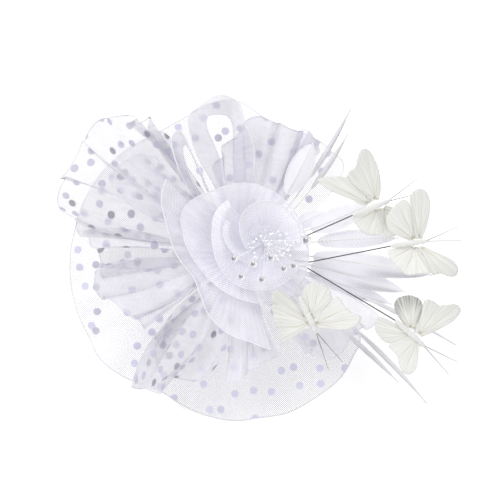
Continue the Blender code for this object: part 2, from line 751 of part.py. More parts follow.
def make_butterfly(model, fly):
    """Four feather wings, a wrapped body with two feelers, and the wire stem that holds it up."""
    centre = Vector((fly.x, fly.y, fly.z)) * MM
    place = Matrix.Translation(centre) @ Matrix.Rotation(math.radians(fly.heading), 4, "Z")
    sized = place @ Matrix.Scale(fly.size, 4)
    bpy.ops.mesh.primitive_uv_sphere_add(segments=8, ring_count=7, radius=1)
    body = bpy.context.object
    body.data.transform(Matrix.Rotation(math.radians(90), 4, "Y"))
    body.data.transform(Matrix.Diagonal((BODY_LENGTH / 2, BODY_RADIUS, BODY_RADIUS, 1)))
    body = evaluated_copy(body)
    head = Vector((BODY_LENGTH * 0.44, 0, 0))
    feelers = []
    for angle in FEELER_ANGLES:
        end = head + Vector((*polar(angle, FEELER_LENGTH), 4 * MM))
        feelers.append(tube(arc_points(head, (head + end) / 2 + Vector((0, 0, 2 * MM)), end, 4), FEELER_RADIUS))
    body = join_solids(body, feelers)
    body.data.transform(sized)
    model.adopt(body, f"butterfly_{fly.name}_body", "cotton_body")
    for wing in WINGS:
        if wing.fly == fly.name:
            make_wing(model, place, wing)
    make_stem(model, fly, sized)


def make_stem(model, fly, place):
    """The wire from the saucer, under the collar, round its bend and up to the body."""
    if fly.hold == -0.5:
        end = place @ Vector((-BODY_LENGTH / 2 - SEAT_GAP - STEM_RADIUS / 2, 0, 0))
    else:
        end = place @ Vector((BODY_LENGTH * fly.hold, 0, -BODY_RADIUS - SEAT_GAP - STEM_RADIUS / 2))
    bend = Vector((fly.bend_x, fly.bend_y, fly.bend_z)) * MM
    foot = Vector((*polar(fly.foot, STEM_FOOT), SHEET_WALL + SEAT_GAP * 2 + STEM_RADIUS * 2))
    points = [foot, foot.lerp(bend, 0.5)] + arc_points(bend, bend.lerp(end, 0.5), end, 5)
    model.adopt(tube(points, STEM_RADIUS), f"butterfly_{fly.name}_stem", "black_wire")


def lowest(points, turn):
    return min((turn @ point).z for point in points)


def stand_on_floor(model):
    """Leans the face back until the net's rim and the band's ends are level, then sets it on the floor."""
    bpy.context.view_layer.update()
    graph = bpy.context.evaluated_depsgraph_get()
    band, rest = [], []
    for obj in model.collection.objects:
        if obj.type != "MESH":
            continue
        evaluated = obj.evaluated_get(graph)
        mesh = evaluated.to_mesh()
        target = band if obj.name == "headband" else rest
        target.extend(evaluated.matrix_world @ vertex.co for vertex in mesh.vertices)
        evaluated.to_mesh_clear()
    low, high = 5.0, 85.0
    for _ in range(50):
        lean = (low + high) / 2
        turn = Matrix.Rotation(math.radians(lean), 4, "X")
        if lowest(band, turn) < lowest(rest, turn):
            low = lean
        else:
            high = lean
    turn = Matrix.Rotation(math.radians((low + high) / 2), 4, "X")
    turned = [turn @ point for point in band + rest]
    middle = [
        (min(point[axis] for point in turned) + max(point[axis] for point in turned)) / 2 for axis in (0, 1)
    ]
    floor = min(point.z for point in turned)
    model.face.matrix_world = Matrix.Translation((-middle[0], -middle[1], -floor)) @ turn


def main():
    clear_scene()
    model = Fascinator()
    make_headband(model)
    make_saucer(model)
    for sheet in SHEETS:
        make_sheet(model, sheet)
    for loop in LOOPS:
        make_loop(model, loop)
    make_rose(model)
    for number, pearl in enumerate(PEARLS, 1):
        make_pearl(model, number, pearl)
    for feather in FEATHERS:
        make_feather(model, feather)
    for fly in BUTTERFLIES:
        make_butterfly(model, fly)
    stand_on_floor(model)


main()
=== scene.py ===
"""Looks of the bridal fascinator: dotted net, organza, a rose of stiff braid, pearls, feathers and butterflies.

Every piece is built on the face, whose origin is the middle of the sewing pad, with x to the right, y to the top
and z out of the face, and is then laid on the model's own leaning face.
"""

import json
import math
import random
from collections import namedtuple

import bmesh
import bpy
from mathutils import Matrix, Vector, noise


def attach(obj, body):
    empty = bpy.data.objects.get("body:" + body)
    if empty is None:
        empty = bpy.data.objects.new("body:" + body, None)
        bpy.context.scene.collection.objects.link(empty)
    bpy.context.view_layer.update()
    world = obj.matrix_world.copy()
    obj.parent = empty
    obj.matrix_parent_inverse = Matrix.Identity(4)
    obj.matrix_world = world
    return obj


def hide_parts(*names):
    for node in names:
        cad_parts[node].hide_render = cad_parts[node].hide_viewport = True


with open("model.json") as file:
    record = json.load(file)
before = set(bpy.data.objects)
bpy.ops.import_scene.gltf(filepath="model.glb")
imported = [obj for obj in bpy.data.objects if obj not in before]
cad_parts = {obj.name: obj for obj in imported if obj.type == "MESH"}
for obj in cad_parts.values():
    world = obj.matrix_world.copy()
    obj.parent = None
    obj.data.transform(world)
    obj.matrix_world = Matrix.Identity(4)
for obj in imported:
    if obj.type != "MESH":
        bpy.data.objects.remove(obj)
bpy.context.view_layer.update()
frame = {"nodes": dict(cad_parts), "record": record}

MM = 0.001
PHOTO_DISTANCE = 1500 * MM
PHOTO_STEP = 0.9 * MM
PHOTO_CENTRE = Vector((9, 4.5)) * MM
PHOTO_LENS = 120

# Cloth
SHEET_WALL = 1.0 * MM
SEAT_GAP = 0.3 * MM
GATHER_REACH = 12 * MM
GATHER_RADIUS = 5 * MM
GATHER_LEVEL = SEAT_GAP + SHEET_WALL + SEAT_GAP + 0.8 * SHEET_WALL
LAYER_STEP = 1.7 * MM
EDGE_RADIUS = 0.55 * MM
SPOT_RADIUS = 3.45 * MM

# Net saucer
SAUCER_RADIUS = 146 * MM
SAUCER_FLUTE = 6 * MM
SAUCER_CENTRE = Vector((-10.8, -6.3)) * MM

# Rose of stiff braid
ROSE_RADIUS = 58 * MM
ROSE_HEIGHT = 25 * MM
ROSE_FOOT_RADIUS = 8 * MM
ROSE_CENTRE = Vector((5.5, 10.5)) * MM
ROSE_SWELL = 1.6
RUFFLE_REACH = 100 * MM
RUFFLE_HEIGHT = 31 * MM
RUFFLE_FOOT_RADIUS = 16 * MM
BRAID_HEIGHT = 37 * MM
BRAID_FOOT_RADIUS = 9.5 * MM
CUP_CORE = Vector((21, 10)) * MM
CUP_REACH = 40 * MM
CUP_HEIGHT = 44 * MM
CUP_FOOT_RADIUS = 6.4 * MM

# Pearls
PEARL_RADIUS = 3.2 * MM
PEARL_WIRE_RADIUS = 0.2 * MM
PEARL_ARCH = 56 * MM
PEARL_ROOT_RADIUS = 4.6 * MM

# Crystals between the folds of the rose
CRYSTAL_COUNT = 96
CRYSTAL_CENTRE = Vector((28, 8)) * MM
CRYSTAL_REACH_X = 24 * MM
CRYSTAL_REACH_Y = 14 * MM

# Feathers
SHAFT_RADIUS = 0.7 * MM

# Butterflies
BODY_LENGTH = 34 * MM
BODY_RADIUS = 2.1 * MM
BODY_WINDING = 1.3
WING_WALL = 0.35 * MM
WING_VEINS = 5
HIND_WING_DROP = 1.5
FEELER_RADIUS = 0.28 * MM
FEELER_LENGTH = 33 * MM
STEM_RADIUS = 0.5 * MM
STEM_FOOT = 20 * MM

# A rib is one fold line of a gathered sheet: its direction in degrees, and the reach and lift of its outer end
# as shares of the sheet's own.
Rib = namedtuple("Rib", "angle reach lift")

# A sheet has the direction of its gathered root, its layer there, the power by which its lift grows outwards, the
# number of tucks across it, how far a tuck folds over itself (over 1 it overlaps) and how deep it stands, how much
# wider it spreads near its root, how many degrees its folds curl sideways, and the flat size and area of its cut.
Sheet = namedtuple("Sheet", "name look reach lift root layer power tucks swing depth spread curl flat area ribs")

SHEETS = (
    Sheet("net_fan_upper_left", "dotted_net", 162 * MM, 36 * MM, 143, 0, 1.25, 4, 1.5, 4.0 * MM, 0.55, 4,
          (0.19, 0.16), 0.0186, (
        Rib(168, 0.955, 0.30),
        Rib(158, 0.980, 0.75),
        Rib(147, 0.985, 0.45),
        Rib(138, 1.000, 0.90),
        Rib(132, 1.000, 0.45),
        Rib(129, 0.885, 0.95),
        Rib(125, 0.845, 0.40),
        Rib(121, 0.760, 0.62),
        Rib(118, 0.640, 0.34),
    )),
    Sheet("organza_puff_left", "organza", 119 * MM, 46 * MM, 140, 1, 1.7, 1, 0.4, 2.0 * MM, 0.5, -4,
          (0.09, 0.12), 0.0053, (
        Rib(157, 0.84, 0.84),
        Rib(152, 0.96, 1.00),
        Rib(146, 1.00, 0.88),
        Rib(140, 0.99, 1.00),
        Rib(134, 0.94, 0.90),
        Rib(129, 0.85, 1.00),
    )),
    Sheet("net_fan_left", "dotted_net", 138 * MM, 36 * MM, 180, 0, 1.25, 2, 1.3, 3.4 * MM, 0.6, 5,
          (0.09, 0.14), 0.0071, (
        Rib(167, 1.000, 1.00),
        Rib(172, 0.920, 0.60),
        Rib(177, 0.840, 1.00),
        Rib(184, 0.810, 0.60),
        Rib(190, 0.800, 0.90),
    )),
    Sheet("organza_leaf_left", "organza_lilac", 112 * MM, 38 * MM, 205, 0, 1.25, 1, 0.6, 3.0 * MM, 0.5, -5,
          (0.085, 0.12), 0.0063, (
        Rib(185, 1.05, 0.95),
        Rib(195, 1.04, 0.62),
        Rib(205, 0.91, 1.00),
        Rib(212, 0.86, 0.60),
        Rib(218, 0.84, 0.86),
    )),
    Sheet("net_fan_lower_left", "dotted_net", 140 * MM, 30 * MM, 240, 0, 1.25, 2, 1.4, 4.0 * MM, 0.5, 9,
          (0.125, 0.16), 0.0096, (
        Rib(222, 0.66, 0.90),
        Rib(228, 0.80, 0.50),
        Rib(232.5, 0.99, 0.62),
        Rib(239, 0.86, 0.95),
        Rib(248, 0.78, 0.50),
        Rib(257, 0.72, 0.95),
    )),
    Sheet("organza_fan_bottom", "organza", 104 * MM, 28 * MM, 278, 0, 1.25, 2, 0.9, 2.6 * MM, 0.4, -4,
          (0.07, 0.105), 0.0042, (
        Rib(261, 1.00, 0.70),
        Rib(267, 0.95, 1.00),
        Rib(273, 0.90, 0.62),
        Rib(280, 0.85, 1.00),
        Rib(288, 0.81, 0.60),
        Rib(296, 0.80, 0.95),
    )),
    Sheet("organza_fan_corner", "organza", 122 * MM, 27 * MM, 320, 0, 1.25, 2, 0.9, 2.8 * MM, 0.5, 5,
          (0.12, 0.10), 0.0068, (
        Rib(301, 0.76, 0.95),
        Rib(308, 0.82, 0.62),
        Rib(314, 0.91, 1.00),
        Rib(326, 0.93, 0.66),
        Rib(338, 1.00, 1.00),
        Rib(343, 0.84, 0.72),
    )),
    Sheet("organza_fan_top", "organza_lilac", 111 * MM, 35 * MM, 66, 0, 1.25, 6, 1.5, 3.0 * MM, 0.5, 3,
          (0.17, 0.115), 0.0127, (
        Rib(50.5, 0.93, 0.62),
        Rib(53, 0.98, 0.95),
        Rib(56, 1.00, 0.55),
        Rib(59, 1.01, 1.00),
        Rib(63, 1.00, 0.52),
        Rib(68, 0.98, 1.00),
        Rib(73, 0.99, 0.55),
        Rib(79, 0.99, 1.00),
        Rib(85, 1.00, 0.50),
        Rib(94, 0.90, 0.28),
        Rib(105, 0.74, 0.30),
        Rib(114, 0.66, 0.26),
    )),
)

# The saucer's outline: reach as a share of its radius, and the flute's height as a share of the flute.
SAUCER_RIBS = (
    Rib(38, 0.90, 0.9),
    Rib(47, 0.94, -0.6),
    Rib(56, 0.93, 0.8),
    Rib(66, 0.91, -0.6),
    Rib(76, 0.92, 0.5),
    Rib(87, 1.00, -0.5),
    Rib(97, 0.98, 0.4),
    Rib(108, 0.93, -0.6),
    Rib(120, 0.91, 0.3),
    Rib(134, 0.94, -0.8),
    Rib(150, 0.96, 0.2),
    Rib(165, 0.97, -0.8),
    Rib(178, 0.975, 0.3),
    Rib(188, 0.985, -0.8),
    Rib(198, 0.980, 0.5),
    Rib(208, 0.980, -0.6),
    Rib(217, 0.990, 0.6),
    Rib(227, 0.965, -0.7),
    Rib(236, 0.920, 0.2),
    Rib(244, 0.905, -0.6),
    Rib(252, 0.925, 0.5),
    Rib(262, 0.960, -0.5),
    Rib(272, 0.980, 0.2),
    Rib(282, 0.985, -0.4),
    Rib(292, 1.000, 0.6),
    Rib(303, 1.000, -0.7),
    Rib(314, 0.995, 0.5),
    Rib(323, 0.970, -0.5),
    Rib(331, 0.930, 0.3),
    Rib(340, 0.70, 0.1),
    Rib(350, 0.45, 0.0),
    Rib(360, 0.42, 0.0),
    Rib(374, 0.42, 0.0),
    Rib(386, 0.50, 0.1),
)

# A ribbon loop stands on its edge: each section has the direction and reach of its far and near edges, as
# shares of the loop's reach, and the height of both as shares of its width.
Section = namedtuple("Section", "far_angle far_reach near_angle near_reach far_height near_height")
Loop = namedtuple("Loop", "name reach width flat area sections")

LOOPS = (
    Loop("organza_loop_top", 128 * MM, 34 * MM, (0.26, 0.04), 0.0060, (
        Section(106, 0.14, 113, 0.16, 0.006, 0.12),
        Section(104, 0.44, 110, 0.46, 0.15, 0.44),
        Section(102, 0.68, 113, 0.72, 0.22, 0.95),
        Section(104.5, 0.90, 111, 0.985, 0.26, 1.20),
        Section(103, 0.99, 104, 1.06, 0.28, 1.25),
        Section(98, 0.99, 97, 1.10, 0.28, 1.28),
        Section(94.5, 0.96, 90.5, 1.04, 0.28, 1.25),
        Section(93, 0.86, 87.5, 0.90, 0.27, 1.18),
        Section(94, 0.68, 82, 0.72, 0.22, 0.95),
        Section(94, 0.44, 80, 0.46, 0.15, 0.44),
        Section(92, 0.14, 80, 0.16, 0.006, 0.12),
    )),
    Loop("organza_loop_left", 120 * MM, 26 * MM, (0.20, 0.022), 0.0018, (
        Section(127, 0.19, 133, 0.20, 0.14, 0.24),
        Section(124, 0.56, 128, 0.60, 0.50, 0.70),
        Section(121.5, 0.72, 125.5, 0.76, 0.80, 1.42),
        Section(118.5, 0.88, 120.5, 0.98, 0.86, 1.50),
        Section(115.8, 0.89, 115.2, 0.99, 0.86, 1.50),
        Section(116.0, 0.70, 115.0, 0.76, 0.72, 1.30),
        Section(117, 0.56, 115.5, 0.60, 0.50, 0.70),
        Section(120, 0.19, 117.5, 0.20, 0.14, 0.24),
    )),
)

# The rose's outer rim: direction from the rose's centre, and reach and height as shares of the rose's own.
Rim = namedtuple("Rim", "angle reach height")
COLLAR = (
    Rim(-10, 0.97, 0.98),
    Rim(19, 0.90, 1.00),
    Rim(54, 0.89, 1.04),
    Rim(87, 0.92, 1.00),
    Rim(121, 0.95, 1.02),
    Rim(151, 1.09, 1.05),
    Rim(174, 0.96, 1.02),
    Rim(206, 0.81, 0.98),
    Rim(238, 0.80, 0.96),
    Rim(270, 0.88, 0.96),
    Rim(296, 1.02, 0.94),
    Rim(319, 1.06, 0.94),
)

# A row of a braid wall: direction, then the reach and height of its crest and of the lip beyond the crest, as
# shares of the wall's own reach and height.
Petal = namedtuple("Petal", "angle crest_reach crest_height lip_reach lip_height")
RUFFLE = (
    Petal(134, 0.84, 1.00, 0.93, 1.20),
    Petal(145, 0.78, 0.99, 0.84, 1.19),
    Petal(157, 0.66, 0.95, 0.70, 1.14),
    Petal(170, 0.585, 0.84, 0.61, 1.04),
    Petal(186, 0.50, 0.74, 0.525, 0.95),
    Petal(204, 0.43, 0.68, 0.455, 0.88),
    Petal(224, 0.46, 0.74, 0.49, 0.92),
    Petal(244, 0.56, 0.84, 0.60, 0.98),
    Petal(262, 0.66, 0.88, 0.70, 1.00),
    Petal(277, 0.73, 0.92, 0.77, 1.06),
    Petal(288, 0.82, 0.96, 0.87, 1.12),
)
BRAID = (
    Petal(112, 0.60, 0.88, 0.72, 0.80),
    Petal(135, 0.52, 0.96, 0.66, 0.84),
    Petal(158, 0.42, 1.00, 0.56, 0.86),
    Petal(182, 0.36, 1.00, 0.51, 0.86),
    Petal(206, 0.36, 0.98, 0.52, 0.84),
    Petal(230, 0.40, 0.92, 0.56, 0.82),
    Petal(254, 0.48, 0.88, 0.64, 0.80),
    Petal(278, 0.58, 0.86, 0.72, 0.80),
    Petal(300, 0.68, 0.86, 0.80, 0.80),
    Petal(322, 0.76, 0.86, 0.86, 0.80),
    Petal(340, 0.80, 0.86, 0.89, 0.80),
)
CUP = (
    Petal(-6, 0.72, 0.86, 0.80, 0.88),
    Petal(14, 0.76, 0.92, 0.84, 0.96),
    Petal(38, 0.78, 0.96, 0.87, 1.00),
    Petal(64, 0.82, 0.96, 0.92, 1.02),
    Petal(90, 0.84, 0.96, 0.94, 1.02),
    Petal(114, 0.76, 0.96, 0.86, 1.02),
    Petal(136, 0.62, 0.95, 0.72, 1.00),
    Petal(158, 0.46, 0.92, 0.55, 0.98),
    Petal(182, 0.36, 0.86, 0.43, 0.92),
    Petal(200, 0.32, 0.80, 0.38, 0.86),
)

# Two folds inside the rose that only the looks have: the turn between braid and cup, and the small arch at the
# heart.
INNER = (
    Petal(148, 0.86, 0.90, 0.98, 0.86),
    Petal(166, 0.80, 0.90, 0.92, 0.86),
    Petal(182, 0.70, 0.88, 0.81, 0.84),
    Petal(201, 0.58, 0.84, 0.68, 0.80),
    Petal(221, 0.50, 0.76, 0.60, 0.74),
    Petal(242, 0.46, 0.68, 0.56, 0.66),
)
HEART = (
    Petal(12, 0.40, 0.66, 0.48, 0.70),
    Petal(30, 0.40, 0.72, 0.48, 0.76),
    Petal(56, 0.33, 0.76, 0.41, 0.80),
    Petal(96, 0.29, 0.78, 0.37, 0.82),
    Petal(134, 0.34, 0.76, 0.42, 0.80),
    Petal(156, 0.34, 0.66, 0.42, 0.70),
)

# A wall of the rose: its rows, the centre of its crest, its reach and height, the centre and radius of its foot,
# whether it stands on the collar or under it, its power, and its flat size.
Wall = namedtuple("Wall", "name rows centre reach height foot_centre foot_radius above power flat area")
MIDDLE = Vector((0, 0))
WALLS = (
    Wall("braid_ruffle", RUFFLE, MIDDLE, RUFFLE_REACH, RUFFLE_HEIGHT, MIDDLE, RUFFLE_FOOT_RADIUS, False, 1.8,
         (0.14, 0.085), 0.0066),
    Wall("rose_braid", BRAID, ROSE_CENTRE, ROSE_RADIUS, BRAID_HEIGHT, CUP_CORE, BRAID_FOOT_RADIUS, True, 0.8,
         (0.105, 0.05), 0.0041),
    Wall("rose_cup", CUP, CUP_CORE, CUP_REACH, CUP_HEIGHT, CUP_CORE, CUP_FOOT_RADIUS, True, 0.8,
         (0.085, 0.045), 0.0026),
    Wall("rose_inner_turn", INNER, CUP_CORE, CUP_REACH, CUP_HEIGHT, CUP_CORE, 0.9 * BRAID_FOOT_RADIUS, True, 0.8,
         (0.05, 0.045), 0.0013),
    Wall("rose_heart", HEART, CUP_CORE, CUP_REACH, CUP_HEIGHT, CUP_CORE, 0.6 * CUP_FOOT_RADIUS, True, 0.8,
         (0.045, 0.03), 0.0007),
)

# Pearls by place on the face in millimetres, the direction of the wire's foot from the rose's core, and the
# pearl's size as a share of the common one.
Pearl = namedtuple("Pearl", "x y z foot size")
PEARLS = (
    Pearl(-4.1, -2.9, 45.0, 196, 1.0),
    Pearl(12.7, -7.5, 48.0, 252, 1.0),
    Pearl(2.2, -18.5, 42.0, 224, 1.0),
    Pearl(20.2, -21.3, 41.0, 280, 1.0),
    Pearl(28.1, -2.1, 45.0, 308, 1.0),
    Pearl(39.5, -11.7, 41.0, 336, 1.0),
    Pearl(48.2, -9.2, 42.0, 4, 1.0),
    Pearl(59.0, 13.0, 44.0, 34, 1.25),
)

# Feathers by direction, reach and height in millimetres of the quill's foot and of the tip, the vane's width, how
# far the middle bows sideways and upwards, the share of the length where the vane begins, and the look.
Feather = namedtuple(
    "Feather", "name foot_angle foot_reach foot_height tip_angle tip_reach tip_height width bow arch vane look"
)
FEATHERS = (
    Feather("feather_leaf_top", 51, 54, 10.6, 57.0, 117, 45, 22.0, -3, 0, 0.22, "feather_white"),
    Feather("feather_biot_top", 40, 30, 2.8, 52.8, 160, 50, 5.0, -9, -4, 0.48, "feather_quill"),
    Feather("feather_biot_side", 34.5, 30, 2.8, 48.2, 142, 43, 5.0, -9, -3, 0.50, "feather_quill"),
    Feather("feather_tuft", 28.5, 30, 2.8, 27.0, 86, 13, 14.0, 0, 0, 0.42, "feather_white"),
    Feather("feather_leaf_side", 22.5, 30, 2.8, 21.5, 122, 25, 22.0, -4, 2, 0.40, "feather_white"),
    Feather("feather_barred", 14, 30, 2.8, 6.1, 142, 22, 17.0, 4, 0, 0.36, "feather_barred"),
    Feather("feather_broad", 6, 30, 2.8, -6.0, 171, 30, 21.0, 2, 6, 0.25, "feather_grey"),
    Feather("feather_grey", -2, 30, 2.8, -12.5, 152, 19, 18.0, 2, 3, 0.28, "feather_grey"),
    Feather("feather_low", -9.5, 30, 2.8, -18.0, 143, 9, 15.0, 2, 2, 0.30, "feather_grey"),
    Feather("feather_wisp", -16, 30, 2.8, -22.6, 207, 22, 4.0, 12, 0, 0.50, "feather_quill"),
    Feather("feather_spike_long", -26, 44, 2.9, -38.5, 213, 15, 4.6, 14, -2, 0.48, "feather_quill"),
    Feather("feather_spike_short", -36, 44, 2.9, -38.8, 182, 10, 4.6, 8, -1, 0.52, "feather_quill"),
)

# A butterfly's place and heading on the face, its size, the place its stem bends at, and the share of the body's
# length from its middle where the stem holds it.
Butterfly = namedtuple("Butterfly", "name x y z heading size foot bend_x bend_y bend_z hold")
BUTTERFLIES = (
    Butterfly("upper", 114.6, 41.2, 46, 21.5, 1.02, 17, 58.5, 16.9, 15.0, -0.5),
    Butterfly("right", 148.0, 10.2, 42, 8.0, 0.96, -5, 62.3, -6.2, 15.5, -0.5),
    Butterfly("low", 149.2, -68.6, 40, -42.0, 1.02, -11, 58.7, -10.6, 12.5, -0.5),
    Butterfly("near", 59.7, -52.4, 42, -64.7, 1.06, -17, 49.0, -41.0, 14.8, 0.1),
)

# A wing has its rise in degrees, how grey it is shaded, and its rim, from its front root round to its back one. A
# rim's spots are read off the photograph, whose frame is 500 steps wide.
Spot = namedtuple("Spot", "x y")
Wing = namedtuple("Wing", "fly kind side rise shade rim")
WINGS = (
    Wing("upper", "fore", "left", 20, 0.15, (
        Spot(379, 200), Spot(380.5, 190), Spot(379.5, 177), Spot(376, 165), Spot(371, 155.5), Spot(365, 150),
        Spot(359.5, 151.5), Spot(356.5, 158), Spot(354.5, 167), Spot(346.5, 175), Spot(352, 184), Spot(372, 201),
    )),
    Wing("upper", "hind", "left", 20, 0.0, (
        Spot(372, 202), Spot(368, 188), Spot(362, 179), Spot(345, 177), Spot(321, 178.5), Spot(317.5, 182.5),
        Spot(331, 192), Spot(349, 199), Spot(358, 204), Spot(366, 206),
    )),
    Wing("upper", "fore", "right", -14, 0.0, (
        Spot(386, 205), Spot(395, 209), Spot(401, 219), Spot(402, 230), Spot(395, 236), Spot(385, 235),
        Spot(384, 222), Spot(381, 210),
    )),
    Wing("upper", "hind", "right", -14, 0.0, (
        Spot(382, 208), Spot(385, 221), Spot(384, 233), Spot(374, 235.5), Spot(364, 233), Spot(356.5, 226),
        Spot(353, 218), Spot(360, 213), Spot(371, 210),
    )),
    Wing("right", "fore", "left", 22, 0.1, (
        Spot(422, 239), Spot(426, 228), Spot(428.8, 212), Spot(428, 200), Spot(424.5, 193), Spot(419, 189.5),
        Spot(412, 191.5), Spot(408, 198), Spot(409.5, 207), Spot(412, 219), Spot(416, 239),
    )),
    Wing("right", "hind", "left", 22, 0.0, (
        Spot(417, 238), Spot(413, 221), Spot(409, 206), Spot(404, 200.5), Spot(397, 202), Spot(390, 210),
        Spot(385, 219), Spot(388, 229), Spot(398, 236.5), Spot(411, 241),
    )),
    Wing("right", "fore", "right", 10, 0.25, (
        Spot(423, 246), Spot(434, 251.5), Spot(446, 257), Spot(454, 262), Spot(457.5, 269), Spot(455, 275.5),
        Spot(448, 276.5), Spot(440, 273.5), Spot(431, 274), Spot(426, 260), Spot(417, 247),
    )),
    Wing("right", "hind", "right", 10, 0.0, (
        Spot(420, 247), Spot(426, 258), Spot(430.5, 272), Spot(420, 274), Spot(406, 275), Spot(397, 267),
        Spot(390, 259), Spot(388, 251), Spot(396, 248), Spot(408, 246),
    )),
    Wing("low", "fore", "left", 10, 0.2, (
        Spot(422, 337), Spot(431, 333), Spot(440, 328.5), Spot(450, 322.5), Spot(457, 316), Spot(459.5, 309.5),
        Spot(455, 304), Spot(445, 304.5), Spot(438, 305), Spot(432, 300.5), Spot(424, 300), Spot(420.5, 314),
        Spot(414, 332),
    )),
    Wing("low", "hind", "left", 10, 0.8, (
        Spot(416, 331), Spot(420, 318), Spot(422, 308), Spot(420.5, 301), Spot(415, 296.5), Spot(407, 295),
        Spot(399, 297), Spot(394.5, 302), Spot(394.5, 309), Spot(398, 316), Spot(405, 326),
    )),
    Wing("low", "fore", "right", 12, 0.0, (
        Spot(421, 341), Spot(418.5, 352), Spot(417.5, 363), Spot(414, 370.5), Spot(408, 374), Spot(401.5, 371),
        Spot(398, 363), Spot(396, 355), Spot(388, 345), Spot(399, 340), Spot(413, 337),
    )),
    Wing("low", "hind", "right", 12, 0.1, (
        Spot(414, 338), Spot(401, 340.5), Spot(388.5, 343), Spot(380, 337.5), Spot(375, 330), Spot(375.5, 321),
        Spot(381, 317), Spot(392, 322), Spot(407, 330),
    )),
    Wing("near", "fore", "left", 8, 0.0, (
        Spot(317, 327), Spot(327, 328.5), Spot(340, 329.5), Spot(352, 327.5), Spot(359.5, 322), Spot(360, 316),
        Spot(351, 312), Spot(344, 304.5), Spot(336.5, 296.5), Spot(328, 306), Spot(313, 320),
    )),
    Wing("near", "hind", "left", 8, 0.1, (
        Spot(314, 320), Spot(324, 309), Spot(331, 298.5), Spot(329.5, 290), Spot(322, 284), Spot(313, 282.5),
        Spot(305.5, 286), Spot(302, 294), Spot(303, 304), Spot(307, 314),
    )),
    Wing("near", "fore", "right", 12, 0.15, (
        Spot(312, 327), Spot(302, 331.5), Spot(292, 337.5), Spot(284, 342), Spot(280.5, 336), Spot(276.5, 325),
        Spot(272.5, 312), Spot(272.5, 304.5), Spot(283, 305), Spot(294, 311), Spot(306, 319),
    )),
    Wing("near", "hind", "right", 12, 0.25, (
        Spot(307, 321), Spot(293, 311), Spot(282, 306), Spot(272.5, 303.5), Spot(271.5, 296), Spot(275, 290.5),
        Spot(282, 291), Spot(290, 297), Spot(297, 305), Spot(303, 313),
    )),
)
FEELER_ANGLES = (16, -7)


def face_matrix():
    """The leaning face, from the record's mount on the back of the pad."""
    mount = next(m for m in frame["record"]["mounts"] if m["name"] == "pad_back")
    out = -Vector(mount["axis"]).normalized()
    right = Vector((1, 0, 0))
    up = out.cross(right)
    origin = Vector(mount["pos_m"]) - up * 14 * MM + out * 2.4 * MM
    matrix = Matrix((right, up, out)).transposed().to_4x4()
    matrix.translation = origin
    return matrix


FACE = face_matrix()


def place_camera():
    """Straight on to the face, as the photograph is taken."""
    camera = bpy.data.objects.new("photo_camera", bpy.data.cameras.new("photo_camera"))
    bpy.context.scene.collection.objects.link(camera)
    camera.data.sensor_width = 36
    camera.data.lens = PHOTO_LENS
    camera.data.clip_end = 20
    camera.matrix_world = FACE @ Matrix.Translation((*PHOTO_CENTRE, PHOTO_DISTANCE))
    bpy.context.scene.camera = camera


place_camera()


# Shader helpers and the groups that more than one material shares


class Tree:
    """Adds nodes to a material's or a group's tree and joins them."""

    def __init__(self, tree):
        self.tree = tree

    def add(self, kind, settings=None, **inputs):
        node = self.tree.nodes.new(kind)
        for key, value in (settings or {}).items():
            setattr(node, key, value)
        for key, value in inputs.items():
            self.feed(node, key.replace("_", " "), value)
        return node

    def feed(self, node, key, value):
        socket = node.inputs[int(key[1:])] if key[0] == "i" and key[1:].isdigit() else node.inputs[key]
        if isinstance(value, bpy.types.NodeSocket):
            self.tree.links.new(value, socket)
        else:
            socket.default_value = value

    def maths(self, operation, first, second=0.0, clamp=False):
        settings = {"operation": operation, "use_clamp": clamp}
        return self.add("ShaderNodeMath", settings, i0=first, i1=second).outputs[0]

    def vector(self, operation, first, second=(0, 0, 0)):
        return self.add("ShaderNodeVectorMath", {"operation": operation}, i0=first, i1=second).outputs[0]

    def ramp(self, value, low, high, start=0.0, end=1.0):
        node = self.add("ShaderNodeMapRange", {"interpolation_type": "SMOOTHSTEP"})
        sockets = ("Value", "From Min", "From Max", "To Min", "To Max")
        for key, given in zip(sockets, (value, low, high, start, end)):
            self.feed(node, key, given)
        return node.outputs[0]

    def mix(self, share, first, second):
        node = self.add("ShaderNodeMix", {"data_type": "RGBA"})
        for index, given in ((0, share), (6, first), (7, second)):
            self.feed(node, f"i{index}", given)
        return node.outputs[2]


def new_group(name, inputs, outputs):
    group = bpy.data.node_groups.new(name, "ShaderNodeTree")
    kinds = {"vector": "NodeSocketVector", "value": "NodeSocketFloat", "colour": "NodeSocketColor"}
    for label, kind, default in inputs:
        socket = group.interface.new_socket(label, in_out="INPUT", socket_type=kinds[kind])
        if default is not None:
            socket.default_value = default
    for label, kind in outputs:
        group.interface.new_socket(label, in_out="OUTPUT", socket_type=kinds[kind])
    tree = Tree(group)
    return group, tree, tree.add("NodeGroupInput").outputs, tree.add("NodeGroupOutput")


